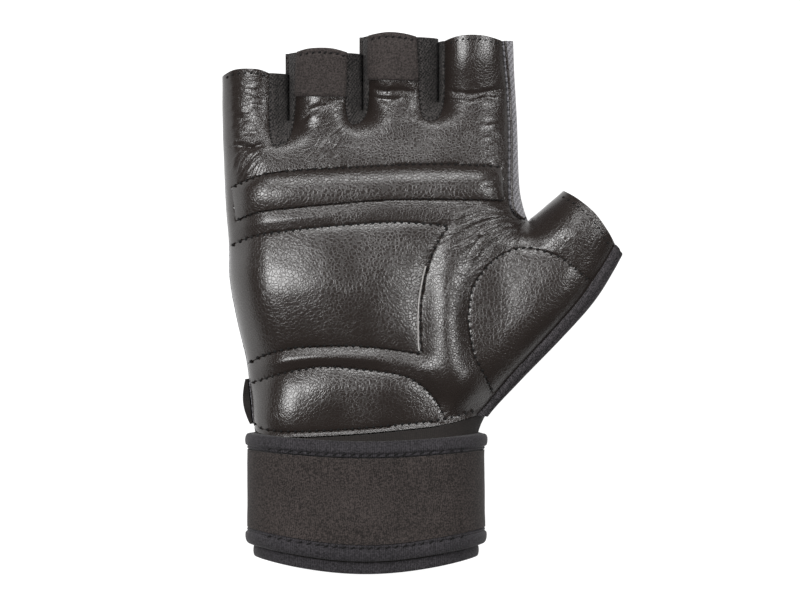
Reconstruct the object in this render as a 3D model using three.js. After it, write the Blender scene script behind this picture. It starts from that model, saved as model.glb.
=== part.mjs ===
import * as THREE from 'three';

// A half-finger weightlifting glove for the right hand, lying palm up: fingers along +Y,
// thumb along +X, the back of the hand flattened on the surface at z = 0.

// Reaches of the glove seen from above, in millimetres.
const palmWidth = 101.8;
const thumbReach = 35.5;
const palmLength = 106.3;
const stallLength = 29.7;
const cuffWidth = 75.9;

// Depths from the back to the palm, and how far each region lies above the surface.
const palmDepth = 33;
const stallDepth = 22;
const thumbDepth = 27;
const cuffDepth = 30;
const palmLift = 15;
const stallLift = 4;
const thumbLift = 6;
const palmShoulder = 16;
const stallShoulder = 11;
const thumbShoulder = 15;

// Walls and fits.
const leatherWall = 1.5;
const fabricWall = 1.8;
const knitWall = 1.2;
const sleeveWall = 2.2;
const seamGap = 0.35;
const gussetGap = 0.8;
const layGap = 0.45;
const slitWidth = 1.6;

// Padding, tabs, bindings and the wrist wrap.
const padEdge = 0.7;
const padRise = 2.4;
const padRound = 6;
const stitchLane = 1.4;
const tabThickness = 1.3;
const tabLength = 15;
const bindingEdge = 1.6;
const bindingRise = 1.5;
const wrapThickness = 2.6;
const wrapBindingWidth = 5.5;
const cuffBindingWidth = 3.9;
const closureThickness = 1.4;
const closureWidth = 38;
const closureMargin = 3;
const rollRise = 1.6;
const rollEdge = 0.8;
const rollWidth = 5;
const hemMargin = 2.4;
const hemGap = 0.5;
const wrapStart = 0.8;
const wrapWidth = 38;
const wrapSag = 2.6;
const cuffSag = 5.4;
const cuffBindingRise = 0.9;
const cuffLength = wrapStart + wrapWidth + hemGap + cuffBindingWidth;

// Steps along a curve when a level or a distance is looked up, how near to an outline counts as
// on it, and how near to each other two corners count as one.
const curveSteps = 320;
const onEdge = 0.03;
const weldStep = 0.002;

// Leather and cloth colours.
const leatherBlack = { color: 0x232122, roughness: 0.45, metalness: 0 };
const knitGrey = { color: 0x3c3c3e, roughness: 0.9, metalness: 0 };
const knitBlack = { color: 0x1b1a1c, roughness: 0.95, metalness: 0 };
const webbingBlack = { color: 0x26221f, roughness: 0.8, metalness: 0 };
const wrapBlack = { color: 0x2a2625, roughness: 0.9, metalness: 0 };
const bindingBlack = { color: 0x17181c, roughness: 0.6, metalness: 0 };

// What the cuff's walls keep clear of the surface: the wrap, the closure and their gaps.
const cuffBed = layGap + wrapThickness + layGap + closureThickness;

// Seen from above, across is 0 at the little finger's side, 1 at the index seam and 2 at the
// thumb's reach; up is -1 at the cuff's end, 0 at the hem, 1 at the finger roots, 2 at the tips.
function place({ across, up }) {
  const x = across <= 1 ? across * palmWidth : palmWidth + (across - 1) * thumbReach;
  if (up < 0) return new THREE.Vector2(x, up * cuffLength);
  if (up <= 1) return new THREE.Vector2(x, up * palmLength);
  return new THREE.Vector2(x, palmLength + (up - 1) * stallLength);
}

function smooth(from, to, value) {
  return THREE.MathUtils.smoothstep(value, from, to);
}

function line(rows, more = []) {
  return new THREE.SplineCurve([...rows.map(place), ...more]);
}

// The cuff runs straight down below the wrist.
const wristCentre = 0.488 * palmWidth;
const cuffRows = (side) => [
  new THREE.Vector2(wristCentre + side * cuffWidth / 2, -0.12 * cuffLength),
  new THREE.Vector2(wristCentre + side * cuffWidth / 2, -0.5 * cuffLength),
  new THREE.Vector2(wristCentre + side * cuffWidth / 2, -1.2 * cuffLength),
];

// The silhouette: little finger's side, index side, top of the thumb, heel of the thumb.
const littleSide = line(
  [
    { across: 0, up: 2.1 },
    { across: 0, up: 1.5 },
    { across: 0, up: 1.02 },
    { across: 0.01, up: 0.75 },
    { across: 0.022, up: 0.6 },
    { across: 0.024, up: 0.49 },
    { across: 0.048, up: 0.36 },
    { across: 0.08, up: 0.23 },
    { across: 0.093, up: 0.13 },
    { across: 0.103, up: 0.04 },
  ],
  cuffRows(-1),
);
const indexSide = line([
  { across: 0.985, up: 2.1 },
  { across: 0.99, up: 1.6 },
  { across: 1, up: 1.02 },
  { across: 1.02, up: 0.8 },
  { across: 1.06, up: 0.72 },
  { across: 1.105, up: 0.677 },
]);
const thumbTop = line([
  { across: 1.105, up: 0.677 },
  { across: 1.22, up: 0.705 },
  { across: 1.32, up: 0.734 },
  { across: 1.45, up: 0.772 },
  { across: 1.6, up: 0.825 },
]);
const thumbHeel = line(
  [
    { across: 2.1, up: 0.64 },
    { across: 1.99, up: 0.56 },
    { across: 1.75, up: 0.425 },
    { across: 1.42, up: 0.3 },
    { across: 1.03, up: 0.168 },
    { across: 0.9, up: 0.055 },
  ],
  cuffRows(1),
);

// Seams on the palm side: the index seam, and the inner edge of the thumb's binding.
const indexSeam = line([
  { across: 1.105, up: 0.677 },
  { across: 1, up: 0.686 },
  { across: 0.972, up: 0.72 },
  { across: 0.966, up: 0.8 },
  { across: 0.967, up: 0.94 },
  { across: 0.962, up: 1.3 },
  { across: 0.945, up: 1.92 },
]);
const bindingRows = [
  { across: 0.98, up: 0.18 },
  { across: 1.27, up: 0.3 },
  { across: 1.61, up: 0.43 },
  { across: 1.83, up: 0.54 },
];
const bindingWrist = { across: 0.864, up: 0.05 };
const bindingTip = { across: 1.93, up: 0.6 };
const bindingLine = line([bindingWrist, ...bindingRows, bindingTip]);

// Between two fingers the gusset's seam runs down one stall, round the crotch and up the next,
// and the slit between the stalls ends above the crotch.
const crotches = [
  {
    name: 'little_ring',
    slit: { across: 0.219, up: 1.02 },
    left: [{ across: 0.162, up: 1.545 }, { across: 0.161, up: 1 }, { across: 0.172, up: 0.923 }],
    bottom: { across: 0.187, up: 0.91 },
    right: [{ across: 0.224, up: 0.93 }, { across: 0.247, up: 1.06 }, { across: 0.259, up: 1.785 }],
  },
  {
    name: 'ring_middle',
    slit: { across: 0.473, up: 1.14 },
    left: [{ across: 0.424, up: 1.775 }, { across: 0.419, up: 1.2 }, { across: 0.428, up: 1.003 }],
    bottom: { across: 0.444, up: 0.985 },
    right: [{ across: 0.476, up: 1.0 }, { across: 0.497, up: 1.22 }, { across: 0.5, up: 1.975 }],
  },
  {
    name: 'middle_index',
    slit: { across: 0.73, up: 1.24 },
    left: [{ across: 0.658, up: 1.955 }, { across: 0.668, up: 1.25 }, { across: 0.68, up: 1.03 }],
    bottom: { across: 0.705, up: 0.998 },
    right: [{ across: 0.735, up: 1.04 }, { across: 0.753, up: 1.3 }, { across: 0.754, up: 1.92 }],
  },
];
for (const crotch of crotches) {
  crotch.leftArm = line([...crotch.left, crotch.bottom]);
  crotch.rightArm = line([crotch.bottom, ...crotch.right]);
}
const tipRises = [
  [{ across: 0.05, up: 1.59 }, { across: 0.12, up: 1.59 }],
  [{ across: 0.305, up: 1.825 }, { across: 0.37, up: 1.825 }],
  [{ across: 0.56, up: 2.01 }, { across: 0.615, up: 1.995 }],
  [{ across: 0.81, up: 1.975 }, { across: 0.88, up: 1.975 }],
];

// The nearest place on an outline, as its distance and the direction into the glove.
function fine(curve) {
  return curve.getSpacedPoints(curveSteps);
}

function nearestOn(points, x, y, inward) {
  let best = Infinity;
  let found = null;
  for (let i = 1; i < points.length; i += 1) {
    const a = points[i - 1];
    const b = points[i];
    const dx = b.x - a.x;
    const dy = b.y - a.y;
    const share = THREE.MathUtils.clamp(
      ((x - a.x) * dx + (y - a.y) * dy) / (dx * dx + dy * dy), 0, 1,
    );
    const gapX = x - a.x - share * dx;
    const gapY = y - a.y - share * dy;
    const gap = gapX * gapX + gapY * gapY;
    if (gap < best) {
      best = gap;
      found = { gapX, gapY, dx, dy };
    }
  }
  const distance = Math.sqrt(best);
  if (distance > onEdge) {
    return { distance, x: found.gapX / distance, y: found.gapY / distance };
  }
  const length = Math.hypot(found.dx, found.dy) * inward;
  return { distance: 0, x: -found.dy / length, y: found.dx / length };
}

const littlePoints = fine(littleSide);
const radialPoints = [...fine(indexSide), ...fine(thumbTop).slice(1)];
const heelPoints = fine(thumbHeel);
const slits = crotches.map((crotch) => {
  const foot = place(crotch.slit);
  return { foot, top: new THREE.Vector2(foot.x, foot.y + 2 * stallLength) };
});

// Every edge that the glove's skin turns round, with the shoulder that it turns on.
function edgesNear(x, y) {
  const thumbSide = smooth(palmWidth, palmWidth + thumbReach / 2, x);
  const heelShoulder = THREE.MathUtils.lerp(palmShoulder, thumbShoulder, thumbSide);
  const edges = [
    { ...nearestOn(littlePoints, x, y, 1), round: palmShoulder },
    { ...nearestOn(radialPoints, x, y, -1), round: thumbShoulder },
    { ...nearestOn(heelPoints, x, y, -1), round: heelShoulder },
  ];
  for (const slit of slits) {
    const near = nearestOn([slit.foot, slit.top], x, y, 1);
    const distance = Math.max(0, near.distance - slitWidth / 2);
    edges.push({ ...near, distance: distance < onEdge ? 0 : distance, round: stallShoulder });
  }
  return edges;
}

// The skin: a front and a back that bulge from a middle plane and meet on the silhouette.
function skin(x, y, side, drop = 0) {
  const toStalls = smooth(0.72 * palmLength, 1.1 * palmLength, y);
  const toThumb = smooth(0.85 * palmWidth, palmWidth + 0.6 * thumbReach, x) * (1 - toStalls);
  const toCuff = 1 - smooth(-0.2 * cuffLength, 0.12 * palmLength, y);
  let half = THREE.MathUtils.lerp(palmDepth, stallDepth, toStalls);
  half = THREE.MathUtils.lerp(half, thumbDepth, toThumb);
  half = THREE.MathUtils.lerp(half, cuffDepth, toCuff) / 2;
  const middle = palmLift
    + stallLift * smooth(palmLength, palmLength + stallLength, y)
    + thumbLift * toThumb
    + (cuffBed + cuffDepth / 2 - palmLift) * toCuff;
  let bulge = 1;
  const normal = new THREE.Vector3();
  const edges = edgesNear(x, y).map((edge) => {
    const share = Math.min(1, edge.distance / edge.round);
    return { ...edge, lean: (1 - share) / edge.round, rise: Math.sqrt(1 - (1 - share) ** 2) };
  });
  for (const edge of edges) bulge *= edge.rise;
  for (const edge of edges) {
    let others = 1;
    for (const other of edges) others *= other === edge ? 1 : other.rise ** 2;
    normal.x -= half * edge.lean * edge.x * others;
    normal.y -= half * edge.lean * edge.y * others;
  }
  normal.z = side * bulge;
  const floor = cuffBed * toCuff;
  let z = middle + side * half * bulge - (bulge === 0 ? drop : 0);
  if (side < 0 && z <= floor) {
    z = floor;
    normal.set(0, 0, -1);
  }
  return { point: new THREE.Vector3(x, y, z), normal: normal.normalize() };
}

// Edges of a patch, each a function from 0 to 1.
function levelOn(curve, level, axis = 'y') {
  const points = curve.getSpacedPoints(curveSteps);
  const rising = points[curveSteps][axis] > points[0][axis];
  const found = points.findIndex((p) => (rising ? p[axis] >= level : p[axis] <= level));
  const index = THREE.MathUtils.clamp(found, 1, curveSteps);
  const before = points[index - 1][axis];
  return (index - 1 + (level - before) / (points[index][axis] - before)) / curveSteps;
}

function onLevel(curve, y) {
  return curve.getPointAt(levelOn(curve, y));
}

function stretch(curve, from, to) {
  return (t) => curve.getPointAt(THREE.MathUtils.clamp(from + (to - from) * t, 0, 1));
}

function between(curve, low, high) {
  return stretch(curve, levelOn(curve, low), levelOn(curve, high));
}

function spline(points) {
  const curve = new THREE.SplineCurve(points);
  return (t) => curve.getPointAt(t);
}

function straight(from, to) {
  return (t) => from.clone().lerp(to, t);
}

// A patch between four edges, trimmed back from each by a width in millimetres.
function patch({ south, north, west, east }, trim = {}) {
  const length = Math.max(south(0).distanceTo(south(1)), north(0).distanceTo(north(1)));
  const height = Math.max(west(0).distanceTo(west(1)), east(0).distanceTo(east(1)));
  const left = (trim.west ?? 0) / length;
  const right = (trim.east ?? 0) / length;
  const low = (trim.south ?? 0) / height;
  const high = (trim.north ?? 0) / height;
  return (share, rise) => {
    const u = left + (1 - left - right) * share;
    const v = low + (1 - low - high) * rise;
    const point = south(u).multiplyScalar(1 - v).addScaledVector(north(u), v);
    point.addScaledVector(west(v), 1 - u).addScaledVector(east(v), u);
    point.addScaledVector(south(0), -(1 - u) * (1 - v)).addScaledVector(south(1), -u * (1 - v));
    return point.addScaledVector(north(0), -(1 - u) * v).addScaledVector(north(1), -u * v);
  };
}

const even = (count) => Array.from({ length: count + 1 }, (_, i) => i / count);
const startFine = (count) => even(count).map((t) => 1 - Math.cos(t * Math.PI / 2));
const endFine = (count) => even(count).map((t) => Math.sin(t * Math.PI / 2));
const bothFine = (count) => even(count).map((t) => (1 - Math.cos(t * Math.PI)) / 2);

// A sheet is a grid of places on the skin, each with its normal and its shares across and along.
function sheet(shape, columns, rows, side, drop = 0) {
  const places = [];
  const faces = [];
  for (const v of rows) {
    for (const u of columns) {
      const { x, y } = shape(u, v);
      places.push({ ...skin(x, y, side, drop), u, v });
    }
  }
  const wide = columns.length;
  for (let j = 0; j + 1 < rows.length; j += 1) {
    for (let i = 0; i + 1 < wide; i += 1) {
      const a = j * wide + i;
      const quad = [a, a + 1, a + wide + 1, a + wide];
      if (side < 0) quad.reverse();
      faces.push([quad[0], quad[1], quad[2]], [quad[0], quad[2], quad[3]]);
    }
  }
  return { places, faces };
}

// Sheets that share an edge become one.
function weld(...sheets) {
  const places = [];
  const faces = [];
  const known = new Map();
  for (const part of sheets) {
    const numbers = part.places.map((spot) => {
      const key = spot.point.toArray().map((value) => Math.round(value / weldStep + 0.23)).join();
      if (!known.has(key)) {
        known.set(key, places.length);
        places.push(spot);
      }
      return known.get(key);
    });
    for (const face of part.faces) {
      const corners = face.map((index) => numbers[index]);
      if (new Set(corners).size === 3) faces.push(corners);
    }
  }
  return { places, faces };
}

// A wall between two offsets of a sheet, closed round the sheet's border.
function shell(cloth, outer, inner) {
  const { places, faces } = cloth;
  const count = places.length;
  const positions = [];
  for (const offset of [outer, inner]) {
    for (const spot of places) {
      const reach = typeof offset === 'function' ? offset(spot) : offset;
      positions.push(...spot.point.clone().addScaledVector(spot.normal, reach).toArray());
    }
  }
  const index = [];
  const rims = new Map();
  for (const [a, b, c] of faces) {
    index.push(a, b, c, c + count, b + count, a + count);
    for (const [from, to] of [[a, b], [b, c], [c, a]]) {
      if (rims.has(`${to},${from}`)) rims.delete(`${to},${from}`);
      else rims.set(`${from},${to}`, [from, to]);
    }
  }
  for (const [a, b] of rims.values()) index.push(b, a, a + count, b, a + count, b + count);
  const geometry = new THREE.BufferGeometry();
  geometry.setAttribute('position', new THREE.Float32BufferAttribute(positions, 3));
  geometry.setIndex(index);
  geometry.computeVertexNormals();
  return geometry;
}

const group = new THREE.Group();

function piece(name, geometry, finish) {
  const mesh = new THREE.Mesh(geometry, new THREE.MeshStandardMaterial(finish));
  mesh.name = name;
  group.add(mesh);
}

// Levels and corners that the palm and the back share.
const height = (up) => place({ across: 0, up }).y;
const webLevel = height(0.68);
const rootLevel = height(0.88);
const indexRoot = height(1.06);
const littleTip = height(1.52);
const thumbCrotch = thumbTop.getPointAt(0);
const hemStart = onLevel(littleSide, height(0.012));
const hemEnd = onLevel(thumbHeel, height(0.055));
const heelTip = onLevel(thumbHeel, height(0.56));
const thumbEnd = levelOn(thumbTop, height(0.772));

// The leather's lower edge, whose last stretch crosses the thumb's binding.
const hemRows = [
  { across: 0.13, up: -0.02 },
  { across: 0.23, up: -0.045 },
  { across: 0.43, up: -0.025 },
  { across: 0.6, up: 0.004 },
  { across: 0.74, up: 0.02 },
  bindingWrist,
];
const hem = new THREE.SplineCurve([hemStart, ...hemRows.map(place), hemEnd]);
const hemAtBinding = levelOn(hem, place(bindingWrist).x, 'x');
const thumbRootRows = [{ across: 0.935, up: 0.29 }, { across: 0.985, up: 0.52 }];
const openingRows = [{ across: 1.85, up: 0.645 }, { across: 1.73, up: 0.7 }, { across: 1.58, up: 0.744 }];

// The sides of the four stalls from root to tip; the index stall's outer side is given.
function stallSides(indexStall) {
  const left = crotches.map((crotch) => (t) => crotch.leftArm.getPointAt(1 - t));
  const right = crotches.map((crotch) => (t) => crotch.rightArm.getPointAt(t));
  const littleStall = between(littleSide, rootLevel, littleTip);
  return [
    { west: littleStall, east: left[0] },
    { west: right[0], east: left[1] },
    { west: right[1], east: left[2] },
    { west: right[2], east: indexStall },
  ];
}

// Rows and columns that the palm, the back, the gussets and the binding share along their seams.
const seamShares = {
  palm: [0, 0.05, 0.11, 0.18, 0.26, 0.35, 0.45, 0.56, 0.67, 0.78, 0.87, 0.94, 0.98, 1],
  upper: [0, 0.06, 0.15, 0.3, 0.65, 1],
  rise: [0, 0.09, 0.2, 0.36, 0.65, 1],
  thumb: even(9),
};

// One side of the glove: the palm below the web, the palm above it, four stalls and the thumb.
function gloveSide(side, edges, shares, drop) {
  const littleUpper = between(littleSide, webLevel, rootLevel);
  const littleWall = between(littleSide, hemStart.y, webLevel);
  const root = new THREE.SplineCurve([
    littleUpper(1), ...crotches.map((crotch) => place(crotch.bottom)), edges.indexPalm(1),
  ]);
  const web = straight(littleUpper(0), thumbCrotch);
  const columns = shares.stalls.flatMap((row, k) => row.slice(k ? 1 : 0).map((t) => (k + t) / 4));
  const lower = patch({ south: edges.hem, north: web, west: littleWall, east: edges.thumbRoot });
  const upper = patch({
    south: web,
    north: (t) => root.getPoint(t),
    west: littleUpper,
    east: edges.indexPalm,
  });
  const thumb = patch({
    south: edges.thumbHeel,
    north: stretch(thumbTop, 0, thumbEnd),
    west: edges.thumbRoot,
    east: edges.thumbOpening,
  });
  const stalls = stallSides(edges.indexStall).map(({ west, east }, k) => {
    const north = spline([west(1), ...tipRises[k].map(place), east(1)]);
    const south = (t) => root.getPoint((k + t) / 4);
    return sheet(patch({ south, north, west, east }), shares.stalls[k], shares.rise, side, drop);
  });
  return weld(
    sheet(lower, columns, shares.palm, side, drop),
    sheet(upper, columns, shares.upper, side, drop),
    sheet(thumb, shares.thumb, shares.palm, side, drop),
    ...stalls,
  );
}

function palmPanel() {
  const cloth = gloveSide(1, {
    hem: stretch(hem, 0, hemAtBinding),
    thumbRoot: spline([place(bindingWrist), ...thumbRootRows.map(place), thumbCrotch]),
    indexPalm: stretch(indexSeam, 0, levelOn(indexSeam, indexRoot)),
    indexStall: stretch(indexSeam, levelOn(indexSeam, indexRoot), 1),
    thumbHeel: stretch(bindingLine, 0, 1),
    thumbOpening: spline([place(bindingTip), ...openingRows.map(place), thumbTop.getPointAt(thumbEnd)]),
  }, { stalls: [startFine(5), even(5), even(5), even(5)], ...seamShares }, 0);
  return shell(cloth, 0, -leatherWall);
}

// The fabric back, which also turns round the index finger's side as far as the leather.
function backPanel() {
  const sideRoot = levelOn(indexSide, indexRoot);
  const sideTip = levelOn(indexSide, height(1.93));
  const seamRoot = levelOn(indexSeam, indexRoot);
  const shares = { stalls: [startFine(5), even(4), even(4), endFine(5)], ...seamShares };
  const palmSide = stretch(indexSide, 1, sideRoot);
  const stallSide = stretch(indexSide, sideRoot, sideTip);
  const cloth = gloveSide(-1, {
    hem: straight(hemStart, hemEnd),
    thumbRoot: spline([hemEnd, ...thumbRootRows.map(place), thumbCrotch]),
    indexPalm: palmSide,
    indexStall: stallSide,
    thumbHeel: between(thumbHeel, hemEnd.y, heelTip.y),
    thumbOpening: spline([heelTip, ...openingRows.map(place), thumbTop.getPointAt(thumbEnd)]),
  }, shares, seamGap);
  const turn = (west, east, rows) => {
    const edges = { south: straight(west(0), east(0)), north: straight(west(1), east(1)), west, east };
    return sheet(patch(edges, { west: seamGap + slitWidth / 4 }), endFine(4), rows, 1, seamGap);
  };
  return shell(weld(
    cloth,
    turn(stretch(indexSeam, 0, seamRoot), palmSide, shares.upper.slice(1)),
    turn(stretch(indexSeam, seamRoot, 1), stallSide, shares.rise),
  ), 0, -fabricWall);
}

// A gusset between two stalls: from the palm seam over the slit's wall to the back seam.
function gusset({ slit, leftArm, rightArm }) {
  const foot = place(slit);
  const half = slitWidth / 2;
  const leftTop = leftArm.getPointAt(0).y;
  const rightTop = rightArm.getPointAt(1).y;
  const straightShare = 0.36;
  const seam = (t) => (t < 0.5 ? leftArm.getPointAt(2 * t) : rightArm.getPointAt(2 * t - 1));
  const wall = (t) => {
    const down = Math.min(1, t / straightShare);
    const up = Math.min(1, (1 - t) / straightShare);
    if (down < 1) return new THREE.Vector2(foot.x - half, THREE.MathUtils.lerp(leftTop, foot.y, down));
    if (up < 1) return new THREE.Vector2(foot.x + half, THREE.MathUtils.lerp(rightTop, foot.y, up));
    const turn = Math.PI * (1 + (t - straightShare) / (1 - 2 * straightShare));
    return new THREE.Vector2(foot.x + half * Math.cos(turn), foot.y + half * Math.sin(turn));
  };
  const shape = (share, rise) => {
    const from = seam(share);
    const to = wall(share);
    const start = gussetGap / from.distanceTo(to);
    return from.lerp(to, start + (1 - start) * rise);
  };
  const columns = [
    ...seamShares.rise.map((t) => (1 - t) / 2).reverse(),
    ...seamShares.rise.slice(1).map((t) => (1 + t) / 2),
  ];
  return shell(weld(
    sheet(shape, columns, endFine(3), 1),
    sheet(shape, columns, endFine(3), -1),
  ), 0, -knitWall);
}

// Padding on the palm: flat below, domed above, thin along its stitched edges.
function pad(name, edges, lanes = {}, columns = 12, rows = 5) {
  const width = edges.west(0.5).distanceTo(edges.east(0.5));
  const length = edges.south(0.5).distanceTo(edges.north(0.5));
  const half = stitchLane / 2;
  const trim = { south: half, north: half, west: half, east: half, ...lanes };
  const dome = (inset) => Math.sqrt(1 - (1 - Math.min(1, inset / padRound)) ** 2);
  const top = ({ u, v }) => layGap + padEdge
    + padRise * dome(Math.min(u, 1 - u) * width) * dome(Math.min(v, 1 - v) * length);
  const cloth = sheet(patch(edges, trim), bothFine(columns), bothFine(rows), 1);
  piece(name, shell(cloth, top, layGap), leatherBlack);
}

// Where an edge round the wrist crosses the silhouette, and its way over the palm and the back.
function cuffEdge(distance, sag) {
  const start = onLevel(littleSide, -distance);
  const end = onLevel(thumbHeel, -distance);
  const back = straight(start, end);
  const front = (t) => {
    const point = back(t);
    point.y -= sag * Math.sin(Math.PI * t);
    return point;
  };
  return { start, end, front, back };
}

function ring(low, high, rows, trim = {}) {
  const west = between(littleSide, low.start.y, high.start.y);
  const east = between(thumbHeel, low.end.y, high.end.y);
  const columns = bothFine(12);
  const front = patch({ south: low.front, north: high.front, west, east }, trim);

  const back = patch({ south: low.back, north: high.back, west, east }, trim);
  return weld(sheet(front, columns, rows, 1), sheet(back, columns, rows, -1));
}

// A binding's rounded top, from a sheet whose rows run from one edge to the other.
const bead = ({ v }) => layGap + bindingEdge + bindingRise * Math.sqrt(Math.max(0, 4 * v * (1 - v)));

piece('palm_panel', palmPanel(), leatherBlack);
piece('back_panel', backPanel(), knitGrey);
for (const crotch of crotches) piece(`gusset_${crotch.name}`, gusset(crotch), knitBlack);

// Stitch lines that part the padding from its neighbours.
const knuckleLine = line([
  { across: 0.03, up: 0.785 },
  { across: 0.14, up: 0.823 },
  { across: 0.4, up: 0.845 },
  { across: 0.7, up: 0.858 },
  { across: 0.943, up: 0.85 },
]);
const bandLine = line([
  { across: 0.041, up: 0.678 },
  { across: 0.2, up: 0.715 },
  { across: 0.51, up: 0.742 },
  { across: 0.95, up: 0.743 },
]);
const gripLine = line([
  { across: 0.03, up: 0.598 },
  { across: 0.19, up: 0.64 },
  { across: 0.51, up: 0.668 },
  { across: 0.766, up: 0.658 },
]);
const gripSide = line([
  { across: 0.725, up: 0.097 },
  { across: 0.695, up: 0.143 },
  { across: 0.681, up: 0.24 },
  { across: 0.675, up: 0.325 },
  { across: 0.675, up: 0.422 },
  { across: 0.692, up: 0.519 },
  { across: 0.725, up: 0.6 },
  { across: 0.766, up: 0.658 },
]);
const gripFoot = line([
  { across: 0.095, up: 0.222 },
  { across: 0.2, up: 0.258 },
  { across: 0.42, up: 0.278 },
  { across: 0.681, up: 0.25 },
]);
const heelLine = line([
  { across: 0.108, up: 0.155 },
  { across: 0.22, up: 0.188 },
  { across: 0.42, up: 0.206 },
  { across: 0.6, up: 0.182 },
  { across: 0.66, up: 0.156 },
  { across: 0.725, up: 0.097 },
]);
const thenarLine = line([
  { across: 0.855, up: 0.065 },
  { across: 0.9, up: 0.128 },
  { across: 0.875, up: 0.201 },
  { across: 0.837, up: 0.299 },
  { across: 0.832, up: 0.38 },
  { across: 0.851, up: 0.468 },
  { across: 0.912, up: 0.544 },
  { across: 0.963, up: 0.578 },
]);
const thenarTop = line([
  { across: 0.963, up: 0.578 },
  { across: 1.126, up: 0.588 },
  { across: 1.379, up: 0.56 },
  { across: 1.65, up: 0.49 },
]);
const farAlong = (curve, across) => levelOn(curve, place({ across, up: 0 }).x, 'x');
const bandEnd = farAlong(bandLine, 0.77);
const ridgeEnd = farAlong(gripFoot, 0.655);

pad('upper_palm_pad', {
  south: stretch(bandLine, 0, 1),
  north: stretch(knuckleLine, 0, 1),
  west: straight(bandLine.getPointAt(0), knuckleLine.getPointAt(0)),
  east: straight(bandLine.getPointAt(1), knuckleLine.getPointAt(1)),
});
pad('grip_band', {
  south: stretch(gripLine, 0, 1),
  north: stretch(bandLine, 0, bandEnd),
  west: straight(gripLine.getPointAt(0), bandLine.getPointAt(0)),
  east: straight(gripLine.getPointAt(1), bandLine.getPointAt(bandEnd)),
}, {}, 12, 4);
const gripWest = spline([
  gripFoot.getPointAt(0),
  place({ across: 0.062, up: 0.33 }),
  place({ across: 0.04, up: 0.43 }),
  gripLine.getPointAt(0),
]);
pad('centre_palm_pad', {
  south: stretch(gripFoot, 0, 1),
  north: stretch(gripLine, 0, 1),
  west: gripWest,
  east: between(gripSide, height(0.25), height(0.658)),
}, {}, 12, 8);
const ridgeFoot = levelOn(heelLine, gripFoot.getPointAt(ridgeEnd).x, 'x');
pad('palm_ridge', {
  south: stretch(heelLine, 0, ridgeFoot),
  north: stretch(gripFoot, 0, ridgeEnd),
  west: straight(heelLine.getPointAt(0), gripFoot.getPointAt(0)),
  east: straight(heelLine.getPointAt(ridgeFoot), gripFoot.getPointAt(ridgeEnd)),
}, {}, 12, 4);
const heelSpan = [0.13, 0.725].map((across) => levelOn(hem, place({ across, up: 0 }).x, 'x'));
pad('heel_pad', {
  south: stretch(hem, ...heelSpan),
  north: stretch(heelLine, 0, 1),
  west: straight(hem.getPointAt(heelSpan[0]), heelLine.getPointAt(0)),
  east: straight(hem.getPointAt(heelSpan[1]), heelLine.getPointAt(1)),
}, { south: hemMargin });
const hemAtThenar = levelOn(hem, place({ across: 0.852, up: 0 }).x, 'x');
const hemAtHeel = levelOn(hem, place({ across: 0.755, up: 0 }).x, 'x');
const gripFlank = spline([
  hem.getPointAt(hemAtHeel), place({ across: 0.74, up: 0.07 }), gripSide.getPointAt(0),
  gripSide.getPointAt(0.2), gripSide.getPointAt(0.45), gripSide.getPointAt(0.7), gripSide.getPointAt(1),
]);
pad('thumb_crease_pad', {
  south: stretch(hem, hemAtHeel, hemAtThenar),
  north: straight(gripSide.getPointAt(1), thenarLine.getPointAt(1)),
  west: gripFlank,
  east: spline([hem.getPointAt(hemAtThenar), ...even(5).map((t) => thenarLine.getPointAt(t))]),
}, { south: hemMargin }, 5, 14);
const thenarFoot = levelOn(thenarLine, height(0.138));
const bindingFoot = levelOn(bindingLine, height(0.138));
const bindingHead = levelOn(bindingLine, height(0.475));
pad('thenar_pad', {
  south: straight(thenarLine.getPointAt(thenarFoot), bindingLine.getPointAt(bindingFoot)),
  north: stretch(thenarTop, 0, 1),
  west: stretch(thenarLine, thenarFoot, 1),
  east: stretch(bindingLine, bindingFoot, bindingHead),
}, { east: hemMargin / 2 }, 8, 12);

// A webbing tab folded over the tip of a stall, for pulling the glove off.
function pullTab(name, k) {
  const west = (t) => crotches[k - 1].rightArm.getPointAt(t);
  const east = (t) => crotches[k].leftArm.getPointAt(1 - t);
  const down = (side) => {
    const start = 1 - tabLength / (2 * side(0.5).distanceTo(side(1)));
    return (t) => side(start + (1 - start) * t);
  };
  const edges = { west: down(west), east: down(east) };
  edges.south = straight(edges.west(0), edges.east(0));
  edges.north = spline([west(1), ...tipRises[k].map(place), east(1)]);
  const cloth = sheet(patch(edges, { west: seamGap, east: seamGap }), even(6), even(4), 1);
  piece(name, shell(cloth, layGap + tabThickness, layGap), webbingBlack);
}
pullTab('pull_tab_ring', 1);
pullTab('pull_tab_middle', 2);

const binding = patch({
  south: between(thumbHeel, hemEnd.y, heelTip.y),
  north: stretch(bindingLine, 0, 1),
  west: straight(hemEnd, bindingLine.getPointAt(0)),
  east: straight(heelTip, bindingLine.getPointAt(1)),
}, { north: 1.5 * seamGap });
piece('thumb_binding', shell(
  sheet(binding, seamShares.thumb, startFine(4), 1),
  ({ v }) => bindingRise * 4 * v * (1 - v),
  -fabricWall,
), bindingBlack);

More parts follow.
